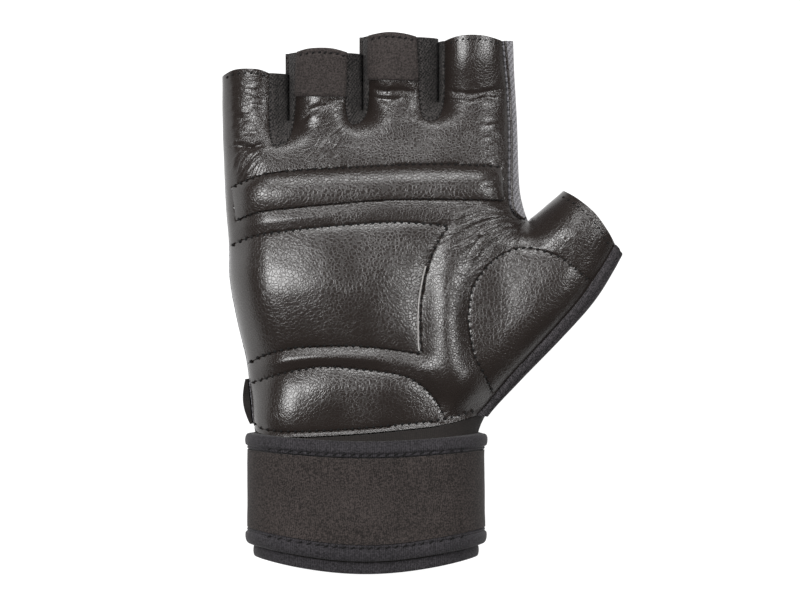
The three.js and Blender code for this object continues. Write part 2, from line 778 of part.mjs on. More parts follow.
// The cuff: a sleeve that the glove is sewn to, and the wrap that closes over it.
const hemEdge = { start: hemStart, end: hemEnd, front: stretch(hem, 0, 1), back: straight(hemStart, hemEnd) };
const sleeveEnd = cuffEdge(cuffLength - cuffBindingWidth, cuffSag);
const wrapTop = cuffEdge(wrapStart, wrapSag);
const wrapUpper = cuffEdge(wrapStart + wrapBindingWidth, wrapSag);
const wrapLower = cuffEdge(wrapStart + wrapWidth - wrapBindingWidth, cuffSag);
const wrapEnd = cuffEdge(wrapStart + wrapWidth, cuffSag);
piece('cuff_sleeve', shell(
  ring(sleeveEnd, hemEdge, even(7), { north: hemGap, south: seamGap }), 0, -sleeveWall,
), knitBlack);
piece('cuff_binding', shell(
  ring(cuffEdge(cuffLength, cuffSag), sleeveEnd, bothFine(4)), cuffBindingRise, -sleeveWall,
), bindingBlack);
piece('wrist_wrap', shell(
  ring(wrapLower, wrapUpper, even(5), { north: seamGap, south: seamGap }), layGap + wrapThickness, layGap,
), wrapBlack);
piece('wrap_top_binding', shell(ring(wrapUpper, wrapTop, bothFine(4)), bead, layGap), bindingBlack);
piece('wrap_bottom_binding', shell(ring(wrapEnd, wrapLower, bothFine(4)), bead, layGap), bindingBlack);

// The wrap's plain fastening tab lies flat on the back.
const closureLow = wrapLower.back(0.5).y + closureMargin;
const closureHigh = wrapUpper.back(0.5).y - closureMargin;
const closureLeft = wristCentre - closureWidth / 2;
const closureCorner = (x, y) => new THREE.Vector2(closureLeft + x * closureWidth, y);
const closure = patch({
  south: straight(closureCorner(0, closureLow), closureCorner(1, closureLow)),
  north: straight(closureCorner(0, closureHigh), closureCorner(1, closureHigh)),
  west: straight(closureCorner(0, closureLow), closureCorner(0, closureHigh)),
  east: straight(closureCorner(1, closureLow), closureCorner(1, closureHigh)),
});
piece('wrap_closure', shell(
  sheet(closure, even(4), even(3), -1), cuffBed, cuffBed - closureThickness,
), wrapBlack);

// The rolled edge of the back's vent, beside the leather at the little finger's side.
const rollLow = onLevel(littleSide, height(0.02));
const rollHigh = onLevel(littleSide, height(0.165));
const rollInset = new THREE.Vector2(rollWidth, 0);
const roll = patch({
  west: between(littleSide, rollLow.y, rollHigh.y),
  east: (t) => between(littleSide, rollLow.y, rollHigh.y)(t).add(rollInset),
  south: straight(rollLow, rollLow.clone().add(rollInset)),
  north: straight(rollHigh, rollHigh.clone().add(rollInset)),
});
piece('vent_roll', shell(
  sheet(roll, startFine(3), even(8), -1, seamGap),
  ({ v }) => layGap + rollEdge + rollRise * Math.sin(Math.PI * v),
  layGap,
), knitBlack);

// The glove stands with its box centred over the origin and its back on the surface.
const box = new THREE.Box3().setFromObject(group);
const centre = box.getCenter(new THREE.Vector3());
group.position.set(-centre.x, -centre.y, -box.min.z);

export default group;
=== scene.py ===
import math
import bpy
import numpy as np
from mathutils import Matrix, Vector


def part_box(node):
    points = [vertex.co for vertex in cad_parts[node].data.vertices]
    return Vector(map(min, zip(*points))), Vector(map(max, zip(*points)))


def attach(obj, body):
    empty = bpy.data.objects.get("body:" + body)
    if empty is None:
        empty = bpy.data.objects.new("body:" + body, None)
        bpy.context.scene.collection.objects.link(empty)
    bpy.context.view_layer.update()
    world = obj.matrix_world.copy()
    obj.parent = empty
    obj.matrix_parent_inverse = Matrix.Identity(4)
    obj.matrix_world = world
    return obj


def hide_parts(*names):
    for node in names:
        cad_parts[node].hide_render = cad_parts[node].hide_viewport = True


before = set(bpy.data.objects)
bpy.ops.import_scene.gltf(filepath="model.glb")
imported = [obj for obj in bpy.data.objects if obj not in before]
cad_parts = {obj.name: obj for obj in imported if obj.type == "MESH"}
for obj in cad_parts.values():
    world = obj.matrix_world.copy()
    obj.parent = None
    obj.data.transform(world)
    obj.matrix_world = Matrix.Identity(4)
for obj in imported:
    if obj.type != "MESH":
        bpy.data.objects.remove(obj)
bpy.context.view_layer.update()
bpy.ops.object.select_all(action='DESELECT')
print('frame loaded:', len(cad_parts), 'nodes')

# the glove's own sizes in millimetres, as the CAD has them
glove = {
    'palmWidth': 101.8, 'thumbReach': 35.5, 'palmLength': 106.3, 'stallLength': 29.7,
    'cuffWidth': 75.9, 'cuffLength': 43.2, 'palmDepth': 33, 'stallDepth': 22, 'thumbDepth': 27,
    'cuffDepth': 30, 'palmLift': 15, 'stallLift': 4, 'thumbLift': 6, 'palmRound': 16,
    'stallRound': 11, 'thumbRound': 15, 'slitWidth': 0.04, 'cuffBed': 4.9, 'layGap': 0.45,
    'wrapStart': 0.8, 'wrapWidth': 38, 'tapeWidth': 5.5, 'wrapSag': 2.6, 'cuffSag': 5.4,
    'cuffTape': 3.9, 'closureMargin': 3,
}
wristCentre = 0.488 * glove['palmWidth']
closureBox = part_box('wrap_closure')
closureLow = glove['closureMargin'] + glove['tapeWidth'] - glove['wrapStart'] - glove['wrapWidth']
shift = np.array([wristCentre - (closureBox[0].x + closureBox[1].x) * 500, closureLow - closureBox[0].y * 1000, 0])
pixel = 0.345  # millimetres to a pixel of the photo, for marks that were read off it


def photoMark(px, py):
    return ((px - 222) * pixel, (430 - py) * pixel)


def place(rows):
    # across: 0 little finger's side, 1 index seam, 2 thumb's reach; up: -1 cuff end, 0 hem, 1 roots, 2 tips
    out = []
    for across, up in rows:
        x = across * glove['palmWidth'] if across <= 1 else glove['palmWidth'] + (across - 1) * glove['thumbReach']
        y = up * glove['palmLength'] if up <= 1 else glove['palmLength'] + (up - 1) * glove['stallLength']
        out.append((x, up * glove['cuffLength'] if up < 0 else y))
    return out


def evenly(points, samples=241):
    reach = np.concatenate([[0], np.cumsum(np.linalg.norm(np.diff(points, axis=0), axis=1))])
    want = np.linspace(0, reach[-1], samples)
    return np.stack([np.interp(want, reach, points[:, k]) for k in range(points.shape[1])], axis=1)


def smoothLine(points, samples=241):
    # the even spline through a few points
    p = np.array(points, float)
    last = len(p) - 1
    t = np.linspace(0, last, last * 40 + 1)
    i = np.minimum(t.astype(int), last - 1)
    w = (t - i)[:, None]
    before, a, b, after = p[np.maximum(i - 1, 0)], p[i], p[i + 1], p[np.minimum(i + 2, last)]
    v, u = (b - before) / 2, (after - a) / 2
    dense = (2 * a - 2 * b + v + u) * w ** 3 + (3 * b - 3 * a - 2 * v - u) * w ** 2 + v * w + a
    return evenly(dense, samples)


def onLine(points, share):
    share = np.clip(np.asarray(share, float), 0, 1) * (len(points) - 1)
    i = np.minimum(share.astype(int), len(points) - 2)
    w = (share - i)[..., None]
    return points[i] * (1 - w) + points[i + 1] * w


def cut(points, start, end):
    return onLine(points, np.linspace(start, end, 241))


def straight(a, b):
    return cut(np.array([a, b], float), 0, 1)


def levelOn(points, level, axis=1):
    values = points[:, axis]
    passed = values >= level if values[-1] > values[0] else values <= level
    hit = max(1, int(np.argmax(passed)))
    return (hit - 1 + (level - values[hit - 1]) / (values[hit] - values[hit - 1])) / (len(points) - 1)


def atLevel(points, level, axis=1):
    return onLine(points, levelOn(points, level, axis))


def between(points, low, high):
    return cut(points, levelOn(points, low), levelOn(points, high))


def ramp(low, high, value):
    t = np.clip((value - low) / (high - low), 0, 1)
    return t * t * (3 - 2 * t)


def nearest(line, xy, inward=1):
    # distance to a line, the direction away from it, and how far along it
    a, b = line[:-1], line[1:]
    d = b - a
    square = (d * d).sum(-1)
    starts = np.concatenate([[0], np.cumsum(np.sqrt(square))])
    distance, away, along = np.zeros(len(xy)), np.zeros((len(xy), 2)), np.zeros(len(xy))
    for first in range(0, len(xy), 3000):
        q = xy[first:first + 3000]
        part = np.clip(((q[:, None, 0] - a[:, 0]) * d[:, 0] + (q[:, None, 1] - a[:, 1]) * d[:, 1]) / square, 0, 1)
        gapX = q[:, None, 0] - a[:, 0] - part * d[:, 0]
        gapY = q[:, None, 1] - a[:, 1] - part * d[:, 1]
        best = (gapX * gapX + gapY * gapY).argmin(1)
        row = np.arange(len(q))
        gap = np.stack([gapX[row, best], gapY[row, best]], 1)
        length = np.linalg.norm(gap, axis=1)
        flat = length < 0.03
        side = np.stack([-d[best, 1], d[best, 0]], 1) * inward / np.sqrt(square[best])[:, None]
        away[first:first + 3000] = np.where(flat[:, None], side, gap / np.maximum(length, 1e-6)[:, None])
        distance[first:first + 3000] = np.where(flat, 0, length)
        along[first:first + 3000] = starts[best] + part[row, best] * np.sqrt(square[best])
    return distance, away, along


def nearestOf(lines, xy):
    found = [nearest(line, xy) for line in lines]
    distances = np.stack([f[0] for f in found])
    best = distances.argmin(0)
    row = np.arange(len(xy))
    return distances[best, row], np.stack([f[2] for f in found])[best, row]


def inside(outline, xy):
    x, y = xy[:, 0], xy[:, 1]
    found = np.zeros(len(xy), bool)
    for a, b in zip(outline, np.roll(outline, -1, axis=0)):
        if a[1] == b[1]:
            continue
        crosses = (a[1] > y) != (b[1] > y)
        found ^= crosses & (x < (b[0] - a[0]) * (y - a[1]) / (b[1] - a[1]) + a[0])
    return found


def noise(x, y, seed):
    # smooth noise of about -1 to 1, one swing to a unit
    turns = np.random.default_rng(seed).random((64, 64)) * 2 * np.pi
    i, j = np.floor(x).astype(int), np.floor(y).astype(int)
    u, v = x - i, y - j
    total = np.zeros(len(x))
    for a in (0, 1):
        for b in (0, 1):
            turn = turns[(i + a) % 64, (j + b) % 64]
            s, t = 1 - np.abs(u - a), 1 - np.abs(v - b)
            weight = s ** 3 * (6 * s * s - 15 * s + 10) * t ** 3 * (6 * t * t - 15 * t + 10)
            total += weight * (np.cos(turn) * (u - a) + np.sin(turn) * (v - b))
    return total * 1.6


# outlines
cuffSide = {side: [(wristCentre + side * glove['cuffWidth'] / 2, -k * glove['cuffLength']) for k in (0.12, 0.5, 1.2)]
            for side in (-1, 1)}
littleSide = smoothLine(place([
    (0, 2.1), (0, 1.5), (0, 1.02), (0.01, 0.75), (0.022, 0.6), (0.024, 0.49), (0.048, 0.36), (0.08, 0.23),
    (0.093, 0.13), (0.103, 0.04)]) + cuffSide[-1])
indexSide = smoothLine(place([
    (0.985, 2.1), (0.99, 1.6), (1, 1.02), (1.02, 0.8), (1.06, 0.72), (1.105, 0.677)]))
thumbTop = smoothLine(place([(1.105, 0.677), (1.22, 0.705), (1.32, 0.734), (1.45, 0.772), (1.6, 0.825)]))
thumbHeel = smoothLine(place([
    (2.1, 0.64), (1.99, 0.56), (1.75, 0.425), (1.42, 0.3), (1.03, 0.168), (0.9, 0.055)]) + cuffSide[1])
indexSeam = smoothLine(place([
    (1.105, 0.677), (1, 0.686), (0.972, 0.72), (0.966, 0.8), (0.967, 0.94), (0.962, 1.3), (0.945, 1.92)]))
bindingLine = smoothLine(place([
    (0.864, 0.05), (0.98, 0.18), (1.27, 0.3), (1.61, 0.43), (1.83, 0.54), (1.93, 0.6)]))
crotches = {
    'little_ring': {
        'slit': (0.219, 1.02), 'bottom': (0.187, 0.91), 'shut': 0.75,
        'left': [(0.162, 1.545), (0.161, 1), (0.172, 0.923)],
        'right': [(0.224, 0.93), (0.247, 1.06), (0.259, 1.785)]},
    'ring_middle': {
        'slit': (0.473, 1.14), 'bottom': (0.444, 0.985), 'shut': 0.4,
        'left': [(0.424, 1.775), (0.419, 1.2), (0.428, 1.003)],
        'right': [(0.476, 1.0), (0.497, 1.22), (0.5, 1.975)]},
    'middle_index': {
        'slit': (0.73, 1.24), 'bottom': (0.705, 0.998), 'shut': 0.3,
        'left': [(0.658, 1.955), (0.668, 1.25), (0.68, 1.03)],
        'right': [(0.735, 1.04), (0.753, 1.3), (0.754, 1.92)]},
}
for crotch in crotches.values():
    crotch['leftArm'] = smoothLine(place(crotch['left'] + [crotch['bottom']]))
    crotch['rightArm'] = smoothLine(place([crotch['bottom']] + crotch['right']))
    crotch['foot'] = np.array(place([crotch['slit']])[0]) + (crotch['shut'], 0)
tipRises = [
    [(0.05, 1.59), (0.12, 1.59)], [(0.305, 1.825), (0.37, 1.825)],
    [(0.56, 2.01), (0.615, 1.995)], [(0.81, 1.975), (0.88, 1.975)],
]
radialSide = np.concatenate([indexSide, thumbTop[1:]])


def skin(xy, side, drop=0):
    # the glove's form: a front and a back that bulge from a middle plane and meet on the outline
    x, y = xy[:, 0], xy[:, 1]
    wide, long, reach = glove['palmWidth'], glove['palmLength'], glove['thumbReach']
    toStalls = ramp(0.72 * long, 1.1 * long, y)
    toThumb = ramp(0.85 * wide, wide + 0.6 * reach, x) * (1 - toStalls)
    toCuff = 1 - ramp(-0.2 * glove['cuffLength'], 0.12 * long, y)
    half = glove['palmDepth'] + (glove['stallDepth'] - glove['palmDepth']) * toStalls
    half = half + (glove['thumbDepth'] - half) * toThumb
    half = (half + (glove['cuffDepth'] - half) * toCuff) / 2
    cuffMiddle = glove['cuffBed'] + glove['cuffDepth'] / 2
    middle = (glove['palmLift'] + glove['stallLift'] * ramp(long, long + glove['stallLength'], y)
              + glove['thumbLift'] * toThumb + (cuffMiddle - glove['palmLift']) * toCuff)
    toThumbRound = ramp(wide, wide + reach / 2, x)
    heelRound = glove['palmRound'] + (glove['thumbRound'] - glove['palmRound']) * toThumbRound
    edges = []
    for line, inward, rounding in ((littleSide, 1, glove['palmRound']),
                                   (radialSide, -1, glove['thumbRound']),
                                   (thumbHeel, -1, heelRound)):
        distance, away, _ = nearest(line, xy, inward)
        edges.append((distance, away, rounding))
    for crotch in crotches.values():
        foot = crotch['foot']
        distance, away, _ = nearest(np.array([foot, foot + (0, 2 * glove['stallLength'])]), xy)
        distance = np.maximum(0, distance - glove['slitWidth'] / 2)
        edges.append((np.where(distance < 0.03, 0, distance), away, glove['stallRound']))
    rises, leans = [], []
    for distance, away, rounding in edges:
        share = np.minimum(1, distance / rounding)
        rises.append(np.sqrt(1 - (1 - share) ** 2))
        leans.append(((1 - share) / rounding)[:, None] * away)
    bulge = np.prod(rises, axis=0)
    normal = np.zeros((len(xy), 3))
    for k, lean in enumerate(leans):
        others = np.prod([rise ** 2 for j, rise in enumerate(rises) if j != k], axis=0)
        normal[:, :2] -= (half * others)[:, None] * lean
    normal[:, 2] = side * bulge
    z = middle + side * half * bulge - np.where(bulge == 0, drop, 0)
    if side < 0:
        floor = glove['cuffBed'] * toCuff
        low = z <= floor
        z = np.where(low, floor, z)
        normal[low] = (0, 0, -1)
    normal /= np.maximum(np.linalg.norm(normal, axis=1), 1e-9)[:, None]
    return np.column_stack([x, y, z]), normal


def even(count):
    return np.linspace(0, 1, count + 1)


# shares that lie closer together at the start, at the end or at both
def startFine(count):
    return 1 - np.cos(even(count) * math.pi / 2)


def endFine(count):
    return np.sin(even(count) * math.pi / 2)


def bothFine(count):
    return (1 - np.cos(even(count) * math.pi)) / 2


def gridOf(edges, u, v, trim):
    # a net stretched between four lines: south, north, west and east
    south, north, west, east = edges
    width = max(np.linalg.norm(south[-1] - south[0]), np.linalg.norm(north[-1] - north[0]))
    height = max(np.linalg.norm(west[-1] - west[0]), np.linalg.norm(east[-1] - east[0]))
    left, right = trim.get('west', 0) / width, trim.get('east', 0) / width
    low, high = trim.get('south', 0) / height, trim.get('north', 0) / height
    u = left + (1 - left - right) * u
    v = low + (1 - low - high) * v
    s, n = onLine(south, u)[None], onLine(north, u)[None]
    w, e = onLine(west, v)[:, None], onLine(east, v)[:, None]
    a, b = u[None, :, None], v[:, None, None]
    return (s * (1 - b) + n * b + w * (1 - a) + e * a - south[0] * (1 - a) * (1 - b)
            - south[-1] * a * (1 - b) - north[0] * (1 - a) * b - north[-1] * a * b)


def sheetOf(edges, u, v, side, drop=0, trim={}, grid=None):
    xy = (gridOf(edges, u, v, trim) if grid is None else grid).reshape(-1, 2)
    points, normals = skin(xy, side, drop)
    wide = len(u)
    a = (np.arange(len(v) - 1)[:, None] * wide + np.arange(wide - 1)).reshape(-1)
    quads = np.stack([a, a + 1, a + wide + 1, a + wide], 1)
    shares = np.stack(np.meshgrid(u, v), -1).reshape(-1, 2)
    return {'points': points, 'normals': normals, 'quads': quads[:, ::-1] if side < 0 else quads,
            'shares': shares, 'front': np.full(len(xy), side)}


def weld(*sheets, step=0.003):
    points = np.concatenate([s['points'] for s in sheets])
    keys = np.round(points / step + 0.23).astype(np.int64)
    _, first, number = np.unique(keys, axis=0, return_index=True, return_inverse=True)
    number = number.reshape(-1)
    counts = np.cumsum([0] + [len(s['points']) for s in sheets])
    quads = number[np.concatenate([s['quads'] + n for s, n in zip(sheets, counts)])]
    kept = ('points', 'normals', 'shares', 'front')
    return {'quads': quads, **{key: np.concatenate([s[key] for s in sheets])[first] for key in kept}}


def solid(name, cloth, outer, inner, attributes={}):
    # a wall between two offsets of a sheet, closed round its border; lengths leave here in metres
    points, normals = cloth['points'], cloth['normals']
    count = len(points)
    layers = [points + normals * np.reshape(reach, (-1, 1)) for reach in (outer, inner)]
    faces = [[int(i) for i in dict.fromkeys(quad)] for quad in cloth['quads'].tolist()]
    faces = [f for f in faces if len(f) > 2]
    rims = {}
    for f in faces:
        for a, b in zip(f, f[1:] + f[:1]):
            if (b, a) in rims:
                del rims[(b, a)]
            else:
                rims[(a, b)] = True
    faces += [[i + count for i in reversed(f)] for f in faces]
    faces += [[b, a, a + count, b + count] for a, b in rims]
    mesh = bpy.data.meshes.new(name)
    mesh.from_pydata(((np.concatenate(layers) - shift) / 1000).tolist(), [], faces)
    for key, values in attributes.items():
        values = np.concatenate([values, values]).astype(np.float32)
        kind = 'FLOAT_VECTOR' if values.ndim == 2 else 'FLOAT'
        mesh.attributes.new(key, kind, 'POINT').data.foreach_set(
            'vector' if values.ndim == 2 else 'value', values.reshape(-1))
    return finished(name, mesh)


def finished(name, mesh, angle=50):
    mesh.validate()
    piece = bpy.data.objects.new(name, mesh)
    bpy.context.scene.collection.objects.link(piece)
    bpy.context.view_layer.objects.active = piece
    piece.select_set(True)
    bpy.ops.object.shade_smooth_by_angle(angle=math.radians(angle))
    piece.select_set(False)
    return piece


def dress(piece, material, nodes):
    piece.data.materials.append(material)
    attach(piece, 'root')
    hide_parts(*nodes)
    return piece


def weaveOf(cloth, width, length):
    # lengths across and along the cloth, for patterns that follow it
    spots = np.zeros((len(cloth['points']), 3))
    spots[:, 0] = cloth['shares'][:, 0] * width / 1000
    spots[:, 1] = cloth['shares'][:, 1] * length / 1000
    return spots



class Wire:
    # a socket's value, so that shader maths is written as sums
    def __init__(self, tree, socket):
        self.tree, self.socket = tree, socket

    def node(self, kind, settings={}, sockets={}, out=0):
        made = self.tree.nodes.new('ShaderNode' + kind)
        for name, value in settings.items():
            if name == 'stops':
                while len(made.color_ramp.elements) < len(value):
                    made.color_ramp.elements.new(0.5)
                for element, (position, level) in zip(made.color_ramp.elements, value):
                    element.position = position
                    element.color = (level, level, level, 1) if np.isscalar(level) else (*level, 1)
            else:
                setattr(made, name, value)
        for name, value in sockets.items():
            if isinstance(value, Wire):
                self.tree.links.new(value.socket, made.inputs[name])
            else:
                made.inputs[name].default_value = value
        return Wire(self.tree, made.outputs[out] if made.outputs else None)

    def maths(self, operation, first, second=0.0, clamp=False):
        return self.node('Math', {'operation': operation, 'use_clamp': clamp}, {0: first, 1: second})

    def __add__(self, other):
        return self.maths('ADD', self, other)

    def __radd__(self, other):
        return self.maths('ADD', other, self)

    def __sub__(self, other):
        return self.maths('SUBTRACT', self, other)

    def __rsub__(self, other):
        return self.maths('SUBTRACT', other, self)

    def __mul__(self, other):
        return self.maths('MULTIPLY', self, other)

    def __rmul__(self, other):
        return self.maths('MULTIPLY', other, self)

    def __pow__(self, other):
        return self.maths('POWER', self, other)

    def __abs__(self):
        return self.maths('ABSOLUTE', self)

    def limit(self):
        return self.maths('ADD', self, 0.0, True)

    def sine(self):
        return self.maths('SINE', self)

    def parts(self):
        made = self.node('SeparateXYZ', {}, {0: self})
        return [Wire(self.tree, made.socket.node.outputs[k]) for k in range(3)]

    def between(self, low, high):
        # 0 at low, 1 at high, smoothly
        return self.node('MapRange', {'interpolation_type': 'SMOOTHSTEP'},
                         {0: self, 1: low, 2: high, 3: 0.0, 4: 1.0})

    def tint(self, low, high):
        # a colour between two, by this value
        return self.node('Mix', {'data_type': 'RGBA'}, {0: self, 6: (*low, 1), 7: (*high, 1)}, out=2)


def newMaterial(name):
    material = bpy.data.materials.new(name)
    material.use_nodes = True
    tree = material.node_tree
    tree.nodes.clear()
    return material, Wire(tree, None)


def surface(start, colour, roughness, height, depth, constants={}):
    # the shader, whose bump is given as a real depth in millimetres
    normal = start.node('Bump', {}, {'Strength': 1.0, 'Distance': depth / 1000, 'Height': height})
    shader = start.node('BsdfPrincipled', {}, {
        'Base Color': colour, 'Roughness': roughness, 'Normal': normal, **constants})
    start.node('OutputMaterial', {}, {0: shader})


def leather(name, look):
    material, start = newMaterial(name)
    coords = start.node('TexCoord', out='Object')
    wander = start.node('TexNoise', {}, {'Vector': coords, 'Scale': 700.0, 'Detail': 1.0}, out=1)
    bent = start.node('VectorMath', {'operation': 'MULTIPLY_ADD'}, {0: wander, 1: (0.0012,) * 3, 2: coords})
    broad = start.node('TexNoise', {}, {'Vector': coords, 'Scale': 60.0, 'Detail': 2.0})
    edges = start.node('TexVoronoi', {'feature': 'DISTANCE_TO_EDGE'},
                       {'Vector': bent, 'Scale': 1000 / look['pebble']})
    pebble = (edges * 5).limit() ** 0.7
    fine = start.node('TexNoise', {}, {'Vector': coords, 'Scale': 2200.0, 'Detail': 3.0, 'Roughness': 0.6})
    crumple = start.node('Attribute', {'attribute_name': 'crumple'}, out='Fac')
    smooth = start.node('Attribute', {'attribute_name': 'stretch'}, out='Fac')
    flow = start.node('Attribute', {'attribute_name': 'flow'}, out='Vector')
    folds = start.node('TexNoise', {}, {'Vector': flow, 'Scale': 1.0, 'Detail': 1.5, 'Roughness': 0.5})
    ridges = (1 - abs(folds * 2 - 1) * 9).limit() ** 1.4
    swell = 0.5 + broad.between(0.35, 0.7) * 0.6
    grain = pebble * swell + fine * 0.07
    height = grain * (1 - smooth) + ridges * crumple * look['ridge']
    # the colour: a broad random tone, and painted shade that darkens the grain's cracks between the pebbles
    colour = (broad.between(0.3, 0.7) * 0.4 + pebble * 0.6).tint(look['dark'], look['light'])
    roughness = look['roughness'] + (1 - pebble) * 0.1 + (fine - 0.5) * 0.1 + (broad - 0.5) * 0.1
    surface(start, colour, roughness, height, look['depth'], {'Specular IOR Level': look['gloss']})
    return material


palmLeather = leather('charcoal palm leather', {
    'pebble': 0.95, 'depth': 0.044, 'ridge': 2.3, 'roughness': 0.25,
    'dark': (0.0110, 0.0080, 0.0068), 'light': (0.0142, 0.0108, 0.0096), 'gloss': 0.48})
padLeather = leather('pebbled pad leather', {
    'pebble': 1.2, 'depth': 0.052, 'ridge': 1.9, 'roughness': 0.25,
    'dark': (0.0110, 0.0080, 0.0068), 'light': (0.0147, 0.0112, 0.0099), 'gloss': 0.5})


knitBase = {'turn': 0, 'ribDepth': 0.6, 'loopDepth': 0.4, 'speckle': 1.6, 'sheen': 0.03}


def knit(name, changes):
    # ribs of small loops; the pattern follows the cloth's own lengths
    look = {**knitBase, **changes}
    material, start = newMaterial(name)
    across, along, _ = start.node('Attribute', {'attribute_name': 'weave'}, out='Vector').parts()
    turned, aslant = math.cos(look['turn']), math.sin(look['turn'])
    u = across * turned - along * aslant
    v = across * aslant + along * turned
    rib = (u * (2 * math.pi * 1000 / look['rib'])).sine() * 0.5 + 0.5
    loop = (v * (2 * math.pi * 1000 / look['loop']) + rib * 1.6).sine() * 0.5 + 0.5
    coords = start.node('TexCoord', out='Object')
    fuzz = start.node('TexNoise', {}, {'Vector': coords, 'Scale': 1700.0, 'Detail': 3.0, 'Roughness': 0.75})
    broad = start.node('TexNoise', {}, {'Vector': coords, 'Scale': 70.0, 'Detail': 2.0})
    height = rib * look['ribDepth'] + loop * look['loopDepth'] + fuzz * 0.5
    # the colour: painted shade, lighter on the ribs' and loops' tops and darker in the gaps between them, plus
    # random speckle and broad tone
    shade = (height * 0.6 + (fuzz - 0.5) * look['speckle'] + (broad - 0.5) * 0.5).limit()
    roughness = 0.82 + (fuzz - 0.5) * 0.2
    surface(start, shade.tint(look['dark'], look['light']), roughness, height, look['depth'], {
        'Specular IOR Level': 0.2, 'Sheen Weight': look['sheen'], 'Sheen Roughness': 0.5})
    return material


gussetKnit = knit('dark gusset knit', {
    'rib': 0.9, 'loop': 0.75, 'turn': 0.6, 'depth': 0.16, 'speckle': 5.0,
    'dark': (0.0015, 0.0014, 0.0014), 'light': (0.045, 0.0408, 0.0393)})
backKnit = knit('grey ribbed knit', {
    'rib': 1.25, 'loop': 0.8, 'turn': 0.52, 'depth': 0.3, 'dark': (0.006, 0.0058, 0.0066), 'light': (0.27, 0.262, 0.283),
    'ribDepth': 0.9, 'sheen': 0.3})
tabWebbing = knit('folded webbing', {
    'rib': 0.42, 'loop': 0.36, 'depth': 0.07, 'speckle': 3.6,
    'dark': (0.0075, 0.0057, 0.0051), 'light': (0.0465, 0.0382, 0.0363)})
wrapWeave = knit('elastic wrap weave', {
    'rib': 0.62, 'loop': 0.5, 'turn': 0.12, 'depth': 0.06, 'speckle': 4.5,
    'dark': (0.0045, 0.0032, 0.0027), 'light': (0.037, 0.0295, 0.0275)})
ribTape = knit('ribbed edge tape', {
    'rib': 0.62, 'loop': 0.5, 'depth': 0.09, 'ribDepth': 0.9, 'loopDepth': 0.1,
    'dark': (0.0045, 0.0039, 0.0048), 'light': (0.032, 0.029, 0.0327), 'sheen': 0.06, 'speckle': 4.0})
cuffKnit = knit('dark cuff knit', {
    'rib': 0.7, 'loop': 0.6, 'depth': 0.08, 'dark': (0.0037, 0.0029, 0.0025), 'light': (0.0165, 0.0135, 0.0123)})
thumbTape = knit('thumb edge tape', {
    'rib': 0.6, 'loop': 0.55, 'turn': 0.5, 'depth': 0.1, 'speckle': 5.0,
    'dark': (0.0045, 0.0039, 0.0045), 'light': (0.045, 0.0408, 0.0442)})
threadLook = knit('black sewing thread', {
    'rib': 0.3, 'loop': 0.3, 'turn': 0.8, 'depth': 0.03, 'dark': (0.001, 0.001, 0.001), 'light': (0.005, 0.0046, 0.0045)})
print('materials made')


def levelAt(up):
    return place([(0, up)])[0][1]


def littleAt(up):
    return atLevel(littleSide, levelAt(up))


webLevel, rootLevel, indexRoot, littleTip = levelAt(0.68), levelAt(0.88), levelAt(1.06), levelAt(1.52)
thumbCrotch = thumbTop[0]
hemStart = atLevel(littleSide, levelAt(0.012))
hemEnd = atLevel(thumbHeel, levelAt(0.055))
heelTip = atLevel(thumbHeel, levelAt(0.56))
thumbEnd = levelOn(thumbTop, levelAt(0.772))
bindingWrist = np.array(place([(0.864, 0.05)])[0])
hem = smoothLine([hemStart] + place([(0.13, -0.02), (0.23, -0.045), (0.43, -0.025), (0.6, 0.004), (0.74, 0.02)])
                 + [bindingWrist, hemEnd])
hemAtBinding = levelOn(hem, bindingWrist[0], 0)
openingRows = place([(1.85, 0.645), (1.73, 0.7), (1.58, 0.744)])
thumbRootRows = place([(0.935, 0.29), (0.985, 0.52)])

# the lines that the pads and the stitches share
seams = {
    'knuckle': smoothLine(place([
        (0.03, 0.785), (0.14, 0.823), (0.27, 0.838), (0.4, 0.845), (0.7, 0.858), (0.943, 0.85)])),
    'band': smoothLine(place([
        (0.041, 0.678), (0.11, 0.701), (0.2, 0.715), (0.51, 0.742), (0.7, 0.747), (0.95, 0.743)])),
    'grip': smoothLine([littleAt(0.594)] + place([
        (0.065, 0.613), (0.14, 0.631), (0.26, 0.646), (0.44, 0.662), (0.6, 0.67), (0.766, 0.658)])),
    'side': smoothLine(place([
        (0.675, 0.25), (0.671, 0.3), (0.672, 0.4), (0.684, 0.48), (0.7, 0.54), (0.728, 0.605), (0.766, 0.658)])),
    'foot': smoothLine([littleAt(0.215)] + place([
        (0.13, 0.24), (0.2, 0.26), (0.27, 0.271), (0.4, 0.276), (0.55, 0.268), (0.675, 0.25)])),
    'heel': smoothLine([littleAt(0.15)] + place([
        (0.18, 0.177), (0.262, 0.196), (0.36, 0.206), (0.5, 0.195), (0.614, 0.177), (0.66, 0.156),
        (0.695, 0.127), (0.726, 0.091), (0.748, 0.05), (0.757, 0.03)])),
    'thenar': smoothLine(place([
        (0.915, 0.125), (0.875, 0.201), (0.85, 0.253), (0.833, 0.35), (0.833, 0.38), (0.851, 0.468),
        (0.912, 0.544), (0.98, 0.584)])),
    'thumb': smoothLine(place([(0.98, 0.584), (1.126, 0.588), (1.379, 0.56), (1.525, 0.525), (1.68, 0.483)])),
}
hemStitch = hem[(hem[:, 0] > 0.1 * glove['palmWidth']) & (hem[:, 0] < 0.86 * glove['palmWidth'])] + (0, 1.9)
hemStitch = evenly(hemStitch)


